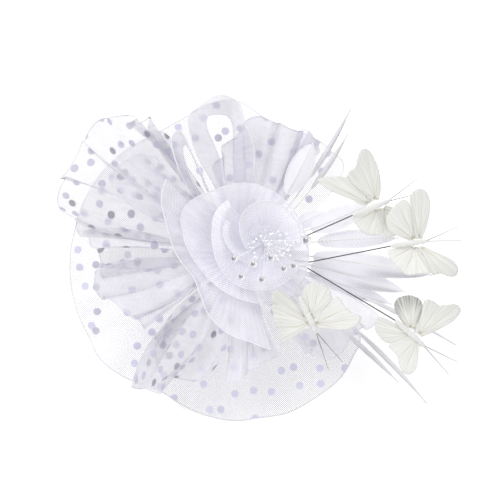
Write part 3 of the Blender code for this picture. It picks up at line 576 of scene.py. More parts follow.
def thread_grid_group():
    """Threads that cross on the slant, as in net, organza and braid: 1 on a thread and 0 in a hole."""
    group, tree, given, out = new_group(
        "thread_grid",
        (("Cloth", "vector", None), ("Threads per metre", "value", 500.0), ("Thread width", "value", 0.35),
         ("Slant", "value", 0.785)),
        (("Thread", "value"), ("Crossing", "value")),
    )
    turned = tree.add("ShaderNodeVectorRotate", {"rotation_type": "Z_AXIS"}, Vector=given["Cloth"],
                      Angle=given["Slant"])
    across = tree.add("ShaderNodeSeparateXYZ", i0=turned.outputs[0])
    lines = []
    for axis in (0, 1):
        place = tree.maths("MULTIPLY", across.outputs[axis], given["Threads per metre"])
        wave = tree.maths("ABSOLUTE", tree.maths("SUBTRACT", tree.maths("FRACT", place), 0.5))
        half = tree.maths("MULTIPLY", given["Thread width"], 0.5)
        lines.append(tree.ramp(tree.maths("SUBTRACT", half, wave), -0.06, 0.06))
    tree.feed(out, "Thread", tree.maths("MAXIMUM", *lines))
    tree.feed(out, "Crossing", tree.maths("MULTIPLY", *lines))
    return group


def spots_group():
    """Round spots at scattered places of the cloth: a mask, and a tone from 0 to 1 that each spot keeps."""
    group, tree, given, out = new_group(
        "flock_spots",
        (("Cloth", "vector", None), ("Spots per metre", "value", 45.0), ("Radius", "value", 0.155)),
        (("Spot", "value"), ("Tone", "value")),
    )
    cells = tree.add("ShaderNodeTexVoronoi", {"voronoi_dimensions": "2D", "feature": "F1"}, Vector=given["Cloth"],
                     Scale=given["Spots per metre"], Randomness=0.86)
    edge = tree.maths("SUBTRACT", given["Radius"], cells.outputs["Distance"])
    tree.feed(out, "Spot", tree.ramp(edge, -0.008, 0.008))
    tone = tree.add("ShaderNodeSeparateColor", i0=cells.outputs["Color"])
    tree.feed(out, "Tone", tone.outputs[0])
    return group


def cloth_shade_group():
    """Soft uneven shade of thin cloth over a few centimetres, and a finer one along its folds."""
    group, tree, given, out = new_group(
        "cloth_shade",
        (("Cloth", "vector", None), ("Depth", "value", 0.1)),
        (("Shade", "value"),),
    )
    wide = tree.add("ShaderNodeTexNoise", Vector=given["Cloth"], Scale=38.0, Detail=2.0)
    streak = tree.vector("MULTIPLY", given["Cloth"], (1.0, 0.12, 1.0))
    fine = tree.add("ShaderNodeTexNoise", Vector=streak, Scale=260.0, Detail=2.0)
    wide_share = tree.maths("MULTIPLY", wide.outputs[0], 0.6)
    both = tree.maths("ADD", wide_share, tree.maths("MULTIPLY", fine.outputs[0], 0.4))
    low = tree.maths("MULTIPLY", tree.ramp(both, 0.35, 0.65), given["Depth"])
    tree.feed(out, "Shade", tree.maths("SUBTRACT", 1.0, low))
    return group


def barb_group():
    """The barbs of a feather: fine lines that run along the barbs, and their uneven shade."""
    group, tree, given, out = new_group(
        "barb_lines",
        (("Barb", "vector", None), ("Lines", "value", 60.0)),
        (("Line", "value"), ("Shade", "value")),
    )
    stretched = tree.vector("MULTIPLY", given["Barb"], (1.0, 0.03, 1.0))
    lines = tree.add("ShaderNodeTexNoise", Vector=stretched, Scale=given["Lines"], Detail=3.0)
    cloud = tree.add("ShaderNodeTexNoise", Vector=given["Barb"], Scale=2.4, Detail=2.0)
    tree.feed(out, "Line", tree.ramp(lines.outputs[0], 0.38, 0.62))
    tree.feed(out, "Shade", tree.ramp(cloud.outputs[0], 0.3, 0.7))
    return group


GROUPS = {
    "thread_grid": thread_grid_group(),
    "flock_spots": spots_group(),
    "cloth_shade": cloth_shade_group(),
    "barb_lines": barb_group(),
}


class Finish(Tree):
    """A material with one Principled shader and the groups feeding it."""

    def __init__(self, name, roughness=0.5, **constants):
        self.material = bpy.data.materials.new(name)
        self.material.use_nodes = True
        super().__init__(self.material.node_tree)
        self.shader = self.tree.nodes["Principled BSDF"]
        self.shader.inputs["Roughness"].default_value = roughness
        for key, value in constants.items():
            self.shader.inputs[key.replace("_", " ")].default_value = value

    def group(self, name, **inputs):
        node = self.add("ShaderNodeGroup", {"node_tree": GROUPS[name]})
        for key, value in inputs.items():
            self.feed(node, key.replace("_", " "), value)
        return node.outputs

    def uv(self, name):
        return self.add("ShaderNodeUVMap", {"uv_map": name}).outputs[0]

    def set(self, **inputs):
        for key, value in inputs.items():
            self.feed(self.shader, key.replace("_", " "), value)

    def bump(self, height, strength, distance):
        return self.add("ShaderNodeBump", Strength=strength, Distance=distance, Height=height).outputs[0]

    def tint(self, colour, share):
        """A colour darkened by a share that varies over the surface."""
        grey = self.add("ShaderNodeCombineColor", i0=share, i1=share, i2=share).outputs[0]
        node = self.add("ShaderNodeMix", {"data_type": "RGBA", "blend_type": "MULTIPLY"})
        for index, given in ((0, 1.0), (6, colour), (7, grey)):
            self.feed(node, f"i{index}", given)
        return node.outputs[2]


def cloth_finish(
    name, colour, hole_alpha, thread_alpha, threads, width, shade, roughness=0.6, slant=0.785, **constants
):
    """Cloth of crossing threads, denser at its hem, with holes that show what lies behind."""
    finish = Finish(name, roughness, **constants)
    cloth = finish.uv("cloth")
    hem = finish.add("ShaderNodeSeparateXYZ", i0=finish.uv("hem"))
    edge = finish.maths("MINIMUM", hem.outputs[0], hem.outputs[1])
    hem_mask = finish.ramp(edge, 0.0016, 0.0008)
    grid = finish.group("thread_grid", Cloth=cloth, Threads_per_metre=threads, Thread_width=width, Slant=slant)
    shading = finish.group("cloth_shade", Cloth=cloth, Depth=shade)["Shade"]
    alpha = finish.ramp(grid["Thread"], 0.0, 1.0, hole_alpha, thread_alpha)
    alpha = finish.maths("MAXIMUM", alpha, finish.maths("MULTIPLY", hem_mask, min(1.0, thread_alpha + 0.3)))
    base = finish.tint(colour, finish.maths("SUBTRACT", shading, finish.maths("MULTIPLY", hem_mask, 0.06)))
    return finish, cloth, grid, alpha, base


def dotted_net(name, colour, hole, thread, spots_per_metre, spot_dark, spot_pale, tone):
    finish, cloth, grid, alpha, base = cloth_finish(name, colour, hole, thread, 780.0, 0.42, 0.12)
    radius = SPOT_RADIUS * spots_per_metre
    spots = finish.group("flock_spots", Cloth=cloth, Spots_per_metre=spots_per_metre, Radius=radius)
    shade = finish.mix(finish.ramp(spots["Tone"], tone, tone + 0.3), spot_dark, spot_pale)
    finish.set(
        Base_Color=finish.mix(spots["Spot"], base, shade),
        Alpha=finish.maths("MAXIMUM", alpha, finish.maths("MULTIPLY", spots["Spot"], 0.9)),
        Normal=finish.bump(finish.maths("ADD", grid["Thread"], spots["Spot"]), 0.4, 0.0003),
    )
    return finish.material


def organza(name, colour, hole, thread):
    finish, cloth, grid, alpha, base = cloth_finish(
        name, colour, hole, thread, 900.0, 0.5, 0.14, 0.42, 0.2, Sheen_Weight=0.3, Sheen_Roughness=0.4
    )
    finish.set(Base_Color=base, Alpha=alpha, Normal=finish.bump(grid["Thread"], 0.3, 0.0002))
    return finish.material


def braid(name, colour, hole, thread):
    # Painted light: the braid glows faintly in its own colour, which lifts its shaded folds as light passing
    # through it would.
    finish, cloth, grid, alpha, base = cloth_finish(
        name, colour, hole, thread, 720.0, 0.5, 0.10, 0.32, 0.785, Sheen_Weight=0.2, Emission_Strength=0.16
    )
    base = finish.tint(base, finish.ramp(grid["Crossing"], 0.0, 1.0, 0.94, 1.0))
    finish.set(
        Base_Color=base,
        Emission_Color=base,
        Alpha=alpha,
        Roughness=finish.ramp(grid["Thread"], 0.0, 1.0, 0.5, 0.28),
        Normal=finish.bump(grid["Thread"], 0.5, 0.0003),
    )
    return finish.material


def feather_finish(name, pale, dark, line_share, shadow, rib=0.0):
    """Fine barb lines, a soft painted shadow on one side beyond the middle, and fine splits across a ribbed
    feather.
    """
    # Painted light: each feather glows faintly in its own colour, which lifts its shaded parts.
    finish = Finish(name, 0.72, Sheen_Weight=0.25, Emission_Strength=0.12)
    lines = finish.group("barb_lines", Barb=finish.uv("barb"), Lines=46.0)
    share = finish.add("ShaderNodeSeparateXYZ", i0=finish.uv("vane"))
    side, along = share.outputs[0], share.outputs[1]
    dark_share = finish.maths("MULTIPLY", lines["Line"], line_share)
    # Painted shadow: one side of the vane darkens towards the tip, as strongly as the share given as shadow.
    shadow_mask = finish.maths("MULTIPLY", finish.ramp(side, 0.55, 0.05), finish.ramp(along, 0.45, 0.72))
    shadow_mask = finish.maths("MULTIPLY", shadow_mask, finish.ramp(along, 1.0, 0.86, 0.35, 1.0))
    dark_share = finish.maths("ADD", dark_share, finish.maths("MULTIPLY", shadow_mask, shadow))
    if rib:
        across = finish.maths("FRACT", finish.maths("MULTIPLY", along, rib))
        split = finish.ramp(finish.maths("ABSOLUTE", finish.maths("SUBTRACT", across, 0.5)), 0.10, 0.03)
        dark_share = finish.maths("ADD", dark_share, finish.maths("MULTIPLY", split, 0.35))
    dark_share = finish.maths("MULTIPLY", dark_share, finish.ramp(lines["Shade"], 0.0, 1.0, 0.75, 1.0))
    vane = finish.mix(dark_share, pale, dark)
    finish.set(
        Base_Color=vane,
        Emission_Color=vane,
        Normal=finish.bump(lines["Line"], 0.35, 0.0003),
    )
    return finish.material


def wing_finish():
    """Cream wing with fine olive veins that fan out from its root, grey where it is shaded."""
    finish = Finish("butterfly_wing", 0.78, Sheen_Weight=0.2)
    place = finish.add("ShaderNodeSeparateXYZ", i0=finish.uv("wing"))
    across, along = place.outputs[0], place.outputs[1]
    lines = finish.group("barb_lines", Barb=finish.uv("wing"), Lines=34.0)
    shade = finish.add("ShaderNodeSeparateXYZ", i0=finish.uv("shade")).outputs[0]
    wander = finish.add("ShaderNodeTexNoise", Vector=finish.uv("wing"), Scale=2.2, Detail=1.0).outputs[0]
    fan = finish.maths("MULTIPLY", across, float(WING_VEINS))
    bent = finish.maths("ADD", fan, finish.maths("MULTIPLY", wander, 0.5))
    stripe = finish.maths("ABSOLUTE", finish.maths("SUBTRACT", finish.maths("FRACT", bent), 0.5))
    width = finish.ramp(along, 0.0, 0.95, 0.085, 0.018)
    vein = finish.ramp(finish.maths("SUBTRACT", width, stripe), -0.02, 0.02)
    vein = finish.maths("MULTIPLY", vein, finish.ramp(along, 0.99, 0.35, 0.1, 0.8))
    cream = finish.mix(lines["Line"], (0.90, 0.90, 0.875, 1), (0.83, 0.83, 0.80, 1))
    grey = finish.maths("MULTIPLY", shade, finish.ramp(along, 0.25, 1.0))
    grey = finish.maths("MULTIPLY", grey, finish.ramp(lines["Line"], 0.0, 1.0, 0.45, 1.0))
    cream = finish.mix(grey, cream, (0.22, 0.22, 0.21, 1))
    cream = finish.mix(finish.ramp(along, 0.10, 0.0), cream, (0.66, 0.60, 0.48, 1))
    finish.set(
        Base_Color=finish.mix(vein, cream, (0.62, 0.59, 0.38, 1)),
        Normal=finish.bump(finish.maths("ADD", vein, lines["Line"]), 0.4, 0.0004),
    )
    return finish.material


def wrapped_thread():
    finish = Finish("wrapped_cotton", 0.85, Sheen_Weight=0.3)
    where = finish.add("ShaderNodeTexCoord").outputs["Object"]
    fuzz = finish.add("ShaderNodeTexNoise", Vector=where, Scale=2600.0, Detail=3.0).outputs[0]
    finish.set(
        Base_Color=finish.mix(finish.ramp(fuzz, 0.35, 0.65), (0.93, 0.93, 0.92, 1), (0.74, 0.74, 0.72, 1)),
        Normal=finish.bump(fuzz, 0.5, 0.0003),
    )
    return finish.material


def pearl_finish():
    """Silver-white pearl: a soft cloud of warm and cool under a clear gloss, and painted shade on its lower left.
    """
    finish = Finish("pearl", 0.14, Metallic=0.55, Coat_Weight=0.6, Coat_Roughness=0.05)
    where = finish.add("ShaderNodeTexCoord").outputs["Object"]
    cloud = finish.add("ShaderNodeTexNoise", Vector=where, Scale=420.0, Detail=2.0).outputs[0]
    # Painted shade: the pearl darkens where its surface turns towards this side, as if lit from the other way.
    shaded_side = (FACE.to_3x3() @ Vector((-0.62, -0.05, 0.78))).normalized()
    out = finish.add("ShaderNodeNewGeometry").outputs["Normal"]
    toward_shade = finish.add("ShaderNodeVectorMath", {"operation": "DOT_PRODUCT"}, i0=out, i1=shaded_side)
    facing = toward_shade.outputs["Value"]
    body = finish.mix(cloud, (0.90, 0.90, 0.93, 1), (0.96, 0.96, 0.96, 1))
    finish.set(Base_Color=finish.mix(finish.ramp(facing, 0.55, 1.0), body, (0.34, 0.34, 0.37, 1)))
    return finish.material


def crystal_finish():
    """Small cut stones: bright and grey facets as painted glints, and a faint painted glow for the light let
    through.
    """
    finish = Finish(
        "crystal", 0.05, Coat_Weight=1.0, Metallic=0.25, Emission_Strength=0.18, Emission_Color=(1, 1, 1, 1)
    )
    where = finish.add("ShaderNodeTexCoord").outputs["Object"]
    # Painted reflections: each facet takes a random bright or grey tone in place of the light it would reflect.
    glint = finish.add("ShaderNodeTexVoronoi", Vector=where, Scale=700.0).outputs["Color"]
    tone = finish.add("ShaderNodeSeparateColor", i0=glint).outputs[0]
    finish.set(Base_Color=finish.mix(finish.ramp(tone, 0.3, 0.7), (0.97, 0.97, 1.0, 1), (0.50, 0.50, 0.56, 1)))
    return finish.material


def wire_finish(name, colour, pale, roughness, metallic, painted_glow=0.0):
    # Any glow is painted light: the wire shines faintly in its pale colour, which lifts it out of shade.
    finish = Finish(name, roughness, Metallic=metallic, Emission_Strength=painted_glow, Emission_Color=pale)
    where = finish.add("ShaderNodeTexCoord").outputs["Object"]
    wear = finish.add("ShaderNodeTexNoise", Vector=where, Scale=900.0, Detail=2.0).outputs[0]
    finish.set(Base_Color=finish.mix(finish.ramp(wear, 0.4, 0.7), colour, pale))
    return finish.material


def satin_finish():
    """Satin ribbon wound round the band: slanting turns, painted darker in the grooves between them, with a fine
    warp.
    """
    finish = Finish("satin", 0.38, Sheen_Weight=0.4)
    where = finish.add("ShaderNodeTexCoord").outputs["Object"]
    turns = finish.add("ShaderNodeTexWave", {"wave_type": "BANDS", "bands_direction": "DIAGONAL"}, Vector=where,
                       Scale=46.0, Distortion=0.6).outputs["Fac"]
    warp = finish.add("ShaderNodeTexWave", {"wave_type": "BANDS", "bands_direction": "X"}, Vector=where,
                      Scale=900.0).outputs["Fac"]
    height = finish.maths("ADD", turns, finish.maths("MULTIPLY", warp, 0.15))
    # Painted shade: the colour follows the turns' height, darker in the grooves between them.
    finish.set(
        Base_Color=finish.mix(turns, (0.80, 0.80, 0.83, 1), (0.90, 0.90, 0.92, 1)),
        Normal=finish.bump(height, 0.5, 0.0006),
    )
    return finish.material


FINISHES = {
    "dotted_net": dotted_net(
        "dotted_net", (0.82, 0.81, 0.87, 1), 0.34, 0.58, 55.0, (0.33, 0.32, 0.39, 1), (0.60, 0.59, 0.72, 1), 0.22
    ),
    "saucer_net": dotted_net(
        "saucer_net", (0.68, 0.67, 0.72, 1), 0.24, 0.42, 46.0, (0.55, 0.54, 0.67, 1), (0.70, 0.69, 0.87, 1), 0.10
    ),
    "organza": organza("organza", (0.90, 0.885, 0.965, 1), 0.32, 0.56),
    "organza_lilac": organza("organza_lilac", (0.80, 0.79, 0.88, 1), 0.36, 0.62),
    "stiff_braid": braid("stiff_braid", (0.88, 0.87, 0.95, 1), 0.42, 0.74),
    # Each feather look ends with the strength of its painted shadow, and the barred one with its rib count.
    "feather_white": feather_finish("feather_white", (0.93, 0.92, 0.96, 1), (0.70, 0.70, 0.75, 1), 0.25, 0.1),
    "feather_grey": feather_finish("feather_grey", (0.90, 0.89, 0.94, 1), (0.30, 0.30, 0.34, 1), 0.14, 0.62),
    "feather_barred": feather_finish(
        "feather_barred", (0.91, 0.90, 0.95, 1), (0.40, 0.40, 0.46, 1), 0.14, 0.1, 34.0
    ),
    "feather_quill": feather_finish("feather_quill", (0.84, 0.84, 0.88, 1), (0.34, 0.34, 0.38, 1), 0.4, 0.4),
    "butterfly_wing": wing_finish(),
    "wrapped_cotton": wrapped_thread(),
    "pearl": pearl_finish(),
    "crystal": crystal_finish(),
    "black_wire": wire_finish("black_wire", (0.03, 0.03, 0.03, 1), (0.10, 0.10, 0.10, 1), 0.35, 0.4),
    # The clear thread's glow is painted light that lifts it where the threads crowd together in shade.
    "clear_thread": wire_finish("clear_thread", (0.80, 0.80, 0.84, 1), (0.92, 0.92, 0.94, 1), 0.2, 0.1, 0.22),
    "edge_cord": wire_finish("edge_cord", (0.93, 0.93, 0.96, 1), (0.84, 0.84, 0.92, 1), 0.3, 0.0),
    "feather_shaft": wire_finish("feather_shaft", (0.88, 0.88, 0.86, 1), (0.76, 0.75, 0.70, 1), 0.4, 0.0),
    "satin": satin_finish(),
}


# Shapes


def polar(angle, reach):
    """The point at this direction in degrees and distance, on the face."""
    return Vector((math.cos(math.radians(angle)), math.sin(math.radians(angle)))) * reach


def from_photo(spot, height):
    """The place on the face, at this height, that the photograph shows at this spot of its 500 steps."""
    step = PHOTO_STEP * (1 - height / PHOTO_DISTANCE)
    return PHOTO_CENTRE + Vector((spot.x - 250, 250 - spot.y)) * step


def along_rows(rows, place, column, closed=False):
    """A column's value at this place from 0 to 1 along the rows, on a smooth curve through them all."""
    count = len(rows)
    step = min(place, 0.999999) * (count if closed else count - 1)
    index = int(step)
    share = step - index

    def value(row):
        if closed:
            return getattr(rows[row % count], column) + (360 * (row // count) if column == "angle" else 0)
        return getattr(rows[max(0, min(row, count - 1))], column)

    before, first, second, after = (value(index + k) for k in (-1, 0, 1, 2))
    linear = second - before
    square = 2 * before - 5 * first + 4 * second - after
    cube = 3 * (first - second) + after - before
    return first + (linear * share + square * share**2 + cube * share**3) / 2


def fade(value, low, high):
    share = max(0.0, min(1.0, (value - low) / (high - low)))
    return share * share * (3 - 2 * share)


def dress(obj, look, *nodes):
    """Gives a finished piece its place on the leaning face, its finish and the nodes it stands for."""
    obj.data.transform(FACE)
    obj.data.materials.clear()
    obj.data.materials.append(FINISHES[look])
    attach(obj, "root")
    if nodes:
        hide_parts(*nodes)
    return obj


def mesh_piece(name, points, faces):
    mesh = bpy.data.meshes.new(name)
    mesh.from_pydata([tuple(point) for point in points], [], faces)
    mesh.shade_smooth()
    obj = bpy.data.objects.new(name, mesh)
    bpy.context.scene.collection.objects.link(obj)
    return obj


def write_uv(mesh, name, place):
    """A UV map with a place for each corner, by the index of its vertex."""
    layer = mesh.uv_layers.new(name=name)
    for loop in mesh.loops:
        layer.data[loop.index].uv = place[loop.vertex_index]


def fan_places(grid):
    """Where each point of a gathered fan lies on the flat cut, a piece of a circle with its centre at the root."""
    columns, rows = len(grid), len(grid[0])
    mark = int(rows * 0.75)
    reach = sum((grid[0][j + 1] - grid[0][j]).length for j in range(rows - 1))
    turned, places = 0.0, []
    for i in range(columns):
        if i:
            step = (grid[i][mark] - grid[i - 1][mark]).length
            turned += step / max(1e-6, reach * mark / (rows - 1))
        length, column = 0.0, []
        for j in range(rows):
            if j:
                length += (grid[i][j] - grid[i][j - 1]).length
            column.append((length * math.sin(turned), length * math.cos(turned)))
        places.append(column)
    return places


def strip_places(grid):
    """Where each point of a straight strip lies on the flat cut."""
    columns, rows = len(grid), len(grid[0])
    run, places = 0.0, []
    middle = rows // 2
    for i in range(columns):
        if i:
            run += (grid[i][middle] - grid[i - 1][middle]).length
        length, column = 0.0, []
        for j in range(rows):
            if j:
                length += (grid[i][j] - grid[i][j - 1]).length
            column.append((run, length))
        places.append(column)
    return places


def plan_places(grid):
    """A nearly flat sheet lies on its own plan."""
    return [[(point.x, point.y) for point in column] for column in grid]


def hem_places(grid, closed):
    """How far each point is from the side edges and from the outer edge."""
    columns, rows = len(grid), len(grid[0])
    places = []
    for i in range(columns):
        outer = [0.0] * rows
        for j in range(rows - 2, -1, -1):
            outer[j] = outer[j + 1] + (grid[i][j + 1] - grid[i][j]).length
        places.append([[1.0, length] for length in outer])
    if closed:
        return places
    for j in range(rows):
        ahead, back = 0.0, 0.0
        for i in range(columns):
            if i:
                ahead += (grid[i][j] - grid[i - 1][j]).length
            places[i][j][0] = ahead
        for i in range(columns - 1, -1, -1):
            if i < columns - 1:
                back += (grid[i + 1][j] - grid[i][j]).length
            places[i][j][0] = min(places[i][j][0], back)
    return places


def lay_cloth(name, look, point_at, columns, rows, lie, closed=False):
    """One layer of cloth over point_at(across, along), with its flat places and its distances from the hem."""
    grid = [[point_at(i / columns, j / rows) for j in range(rows + 1)] for i in range(columns + 1)]
    cloth, hem = lie(grid), hem_places(grid, closed)
    points = [point for column in grid for point in column]
    faces = []
    for i in range(columns):
        for j in range(rows):
            low = i * (rows + 1) + j
            faces.append((low, low + rows + 1, low + rows + 2, low + 1))
    obj = mesh_piece(name, points, faces)
    write_uv(obj.data, "cloth", [place for column in cloth for place in column])
    write_uv(obj.data, "hem", [place for column in hem for place in column])
    return obj, grid


def crumple(place, depth):
    """A gentle unevenness, by place on the cloth, that is the same for every run."""
    return noise.noise(place) * depth


def make_saucer():
    """The dotted net saucer, fluted at its rim, cut back on the side that the feathers fill."""

    def surface(across, along):
        angle = along_rows(SAUCER_RIBS, across, "angle", closed=True)
        tip = polar(angle, along_rows(SAUCER_RIBS, across, "reach", closed=True) * SAUCER_RADIUS) + SAUCER_CENTRE
        plan = (tip.normalized() * GATHER_RADIUS).lerp(tip, along)
        flute = along_rows(SAUCER_RIBS, across, "lift", closed=True) * SAUCER_FLUTE * along**2
        ripple = math.sin(math.radians(angle) * 46) * 0.5 * MM * along**2
        dent = crumple((plan / (30 * MM)).to_3d(), 1.2 * MM * along)
        return Vector((plan.x, plan.y, SEAT_GAP + SHEET_WALL / 2 + flute + ripple + dent))

    obj, _ = lay_cloth("saucer_cloth", "saucer_net", surface, 408, 36, plan_places, closed=True)
    dress(obj, "saucer_net", "net_saucer")


def make_sheet(sheet):
    """A sheet gathered at the pad's edge, whose folds spread out, tuck over each other and lift off the saucer."""
    root = polar(sheet.root, GATHER_REACH)
    span = sheet.ribs[-1].angle - sheet.ribs[0].angle
    middle = (sheet.ribs[-1].angle + sheet.ribs[0].angle) / 2
    swing = sheet.swing * span / sheet.tucks / math.tau

    def surface(across, along):
        wander = 0.35 * math.sin(math.tau * across * 1.7 + sheet.root)
        phase = math.tau * (sheet.tucks * across + wander)
        calm = fade(across, 0.0, 0.08) * fade(1 - across, 0.0, 0.08)
        open_out = 0.35 + 0.65 * fade(along, 0.1, 0.8)
        angle = along_rows(sheet.ribs, across, "angle")
        angle += (angle - middle) * sheet.spread * (1 - along) ** 1.5
        angle += swing * math.sin(phase) * calm * open_out
        angle += sheet.curl * math.sin(math.pi * along) * math.cos(phase * 0.5 + 1.0)
        reach = along_rows(sheet.ribs, across, "reach") * sheet.reach * (1 + 0.012 * math.cos(phase * 1.5) * calm)
        plan = root + polar(angle, 1) * (GATHER_RADIUS + (reach - GATHER_RADIUS) * along)
        lift = along_rows(sheet.ribs, across, "lift") * sheet.lift * along**sheet.power
        stand = sheet.depth * math.cos(phase) * calm * along
        near_root = fade(along, 0.02, 0.2) * fade(1 - along, 0.3, 0.9)
        gather = 0.35 * MM * math.sin(math.tau * across * sheet.tucks * 7) * near_root
        dent = crumple(Vector((across * span / 14, along * 4.2, sheet.root)), 3.2 * MM * along)
        level = GATHER_LEVEL + sheet.layer * LAYER_STEP
        return Vector((plan.x, plan.y, level + lift + stand + gather + dent))

    obj, _ = lay_cloth(f"{sheet.name}_cloth", sheet.look, surface, 120 + 20 * sheet.tucks, 40, fan_places)
    dress(obj, sheet.look, sheet.name)


def edge_cord(name, points, radius):
    """A fine cord along the edge of a ribbon or a braid."""
    obj = wire(name, points, radius, 2)
    return dress(obj, "edge_cord")


def wire(name, points, radius, smooth=3, taper=None):
    """A round wire along these points, with closed ends, as a mesh on the face."""
    curve = bpy.data.curves.new(name, "CURVE")
    curve.dimensions = "3D"
    curve.bevel_depth = radius
    curve.bevel_resolution = smooth
    curve.use_fill_caps = True
    spline = curve.splines.new("POLY")
    spline.points.add(len(points) - 1)
    for index, (target, point) in enumerate(zip(spline.points, points)):
        target.co = (*point, 1)
        if taper:
            target.radius = taper(index / (len(points) - 1))
    obj = bpy.data.objects.new(name, curve)
    bpy.context.scene.collection.objects.link(obj)
    bpy.ops.object.select_all(action="DESELECT")
    obj.select_set(True)
    bpy.context.view_layer.objects.active = obj
    bpy.ops.object.convert(target="MESH")
    obj = bpy.context.object
    obj.data.shade_smooth()
    return obj


def make_loop(loop):
    """A ribbon loop that stands on its edge, with its two bright edges."""

    def surface(across, along):
        def value(column):
            return along_rows(loop.sections, across, column)

        far = polar(value("far_angle"), value("far_reach") * loop.reach)
        near = polar(value("near_angle"), value("near_reach") * loop.reach)
        plan = far.lerp(near, along)
        height = value("far_height") + (value("near_height") - value("far_height")) * along
        belly = 0.8 * MM * math.sin(math.pi * along)
        dent = crumple((plan / (14 * MM)).to_3d(), 0.8 * MM)
        return Vector((plan.x, plan.y, GATHER_LEVEL + height * loop.width + belly + dent))

    obj, grid = lay_cloth(f"{loop.name}_ribbon", "organza_lilac", surface, 160, 10, strip_places)
    dress(obj, "organza_lilac", loop.name)
    far = edge_cord(f"{loop.name}_far_edge", [column[0] for column in grid], EDGE_RADIUS * 0.6)
    near = edge_cord(f"{loop.name}_near_edge", [column[-1] for column in grid], EDGE_RADIUS)


def collar_point(across, along):
    """A point of the rose's collar, from its flat foot at 0 to its rim at 1."""
    radius = along_rows(COLLAR, across, "reach", closed=True) * ROSE_RADIUS
    height = along_rows(COLLAR, across, "height", closed=True) * ROSE_HEIGHT
    direction = polar(along_rows(COLLAR, across, "angle", closed=True), 1)
    plan = ROSE_CENTRE * along + direction * (ROSE_FOOT_RADIUS + (radius - ROSE_FOOT_RADIUS) * along)
    level = SEAT_GAP * 2 + SHEET_WALL * 1.5
    return Vector((plan.x, plan.y, level + (height - level) * (1 - (1 - along) ** ROSE_SWELL)))


def collar_turns():
    """How far round the collar each whole degree of direction lies, from the first rim's."""
    steps = 720
    angles = [along_rows(COLLAR, i / steps, "angle", closed=True) for i in range(steps)]
    angles.append(COLLAR[0].angle + 360)
    turns, index = [], 0
    for degree in range(361):
        while index < steps - 1 and angles[index + 1] < COLLAR[0].angle + degree:
            index += 1
        span = angles[index + 1] - angles[index]
        turns.append((index + (COLLAR[0].angle + degree - angles[index]) / span) / steps)
    return turns


COLLAR_TURNS = collar_turns()


def collar_across(direction):
    """How far round the collar this direction lies, from 0 to 1."""
    degrees = (direction - COLLAR[0].angle) % 360
    index = min(359, int(degrees))
    return COLLAR_TURNS[index] + (COLLAR_TURNS[index + 1] - COLLAR_TURNS[index]) * (degrees - index)


def collar_under(point):
    """The collar's height at a point of the face, or None beyond its rim."""
    low, high = 0.0, 1.0
    for _ in range(14):
        along = (low + high) / 2
        arm = point - ROSE_CENTRE * along
        across = collar_across(math.degrees(math.atan2(arm.y, arm.x)))
        edge = collar_point(across, along)
        if arm.length > (Vector((edge.x, edge.y)) - ROSE_CENTRE * along).length:
            low = along
        else:
            high = along
    return None if low > 0.999 else collar_point(across, (low + high) / 2).z


def make_collar():
    """The rose's collar, a shallow bowl of braid with fine pleats, and its bright edge."""

    def surface(across, along):
        point = collar_point(across, along)
        pleat = 0.35 * MM * math.sin(math.tau * across * 44) * fade(along, 0.1, 0.5)
        return point + Vector((0, 0, pleat))

    obj, grid = lay_cloth("rose_collar_braid", "stiff_braid", surface, 360, 24, fan_places, closed=True)
    dress(obj, "stiff_braid", "rose_collar")
    edge = edge_cord("rose_collar_edge", [column[-1] for column in grid], EDGE_RADIUS * 0.5)


def make_wall(wall):
    """A braid wall from a foot ring up to its crest and on to its lip, kept clear above or below the collar."""

    def surface(across, along):
        def value(column):
            return along_rows(wall.rows, across, column)

        direction = polar(value("angle"), 1)
        foot = wall.foot_centre + direction * wall.foot_radius
        crest = wall.centre + direction * value("crest_reach") * wall.reach
        lip = wall.centre + direction * value("lip_reach") * wall.reach
        base = (collar_under(foot) or 0) + (LAYER_STEP if wall.above else -LAYER_STEP)
        turn = 0.75
        if along < turn:
            climb = along / turn
            plan = foot.lerp(crest, climb)
            rise = base + (value("crest_height") * wall.height - base) * climb**wall.power
        else:
            beyond = (along - turn) / (1 - turn)
            plan = crest.lerp(lip, beyond)
            crest_height = value("crest_height")
            rise = (crest_height + (value("lip_height") - crest_height) * beyond) * wall.height
        collar = collar_under(plan)
        if collar is not None:
            rise = max(rise, collar + LAYER_STEP) if wall.above else min(rise, collar - LAYER_STEP)
        pleat = 0.3 * MM * math.sin(math.tau * across * 30) * fade(along, 0.1, 0.4)
        return Vector((plan.x, plan.y, rise + pleat))

    obj, grid = lay_cloth(f"{wall.name}_braid", "stiff_braid", surface, 120, 20, strip_places)
    nodes = [wall.name] if wall.name in frame["nodes"] else []
    dress(obj, "stiff_braid", *nodes)
    edge_radius = EDGE_RADIUS * (0.6 if wall.above else 1.0)
    edge = edge_cord(f"{wall.name}_edge", [column[-1] for column in grid], edge_radius)


def arc_points(start, control, end, count):
    """Points along the quadratic curve from start to end that leans towards control."""
    places = [i / (count - 1) for i in range(count)]
    return [start * (1 - t) ** 2 + control * (2 * t * (1 - t)) + end * t**2 for t in places]


def ball(name, centre, radius, rings=20):
    """A smooth round bead with a small flat at each end of its hole."""
    bpy.ops.object.select_all(action="DESELECT")
    bpy.ops.mesh.primitive_uv_sphere_add(segments=2 * rings, ring_count=rings, radius=radius, location=centre)
    obj = bpy.context.object
    obj.name = name
    bpy.ops.object.transform_apply(location=True, rotation=True, scale=True)
    for vertex in obj.data.vertices:
        away = vertex.co - centre
        if abs(away.z) > 0.93 * radius:
            vertex.co.z = centre.z + math.copysign(0.93 * radius, away.z)
    obj.data.shade_smooth()
    return obj


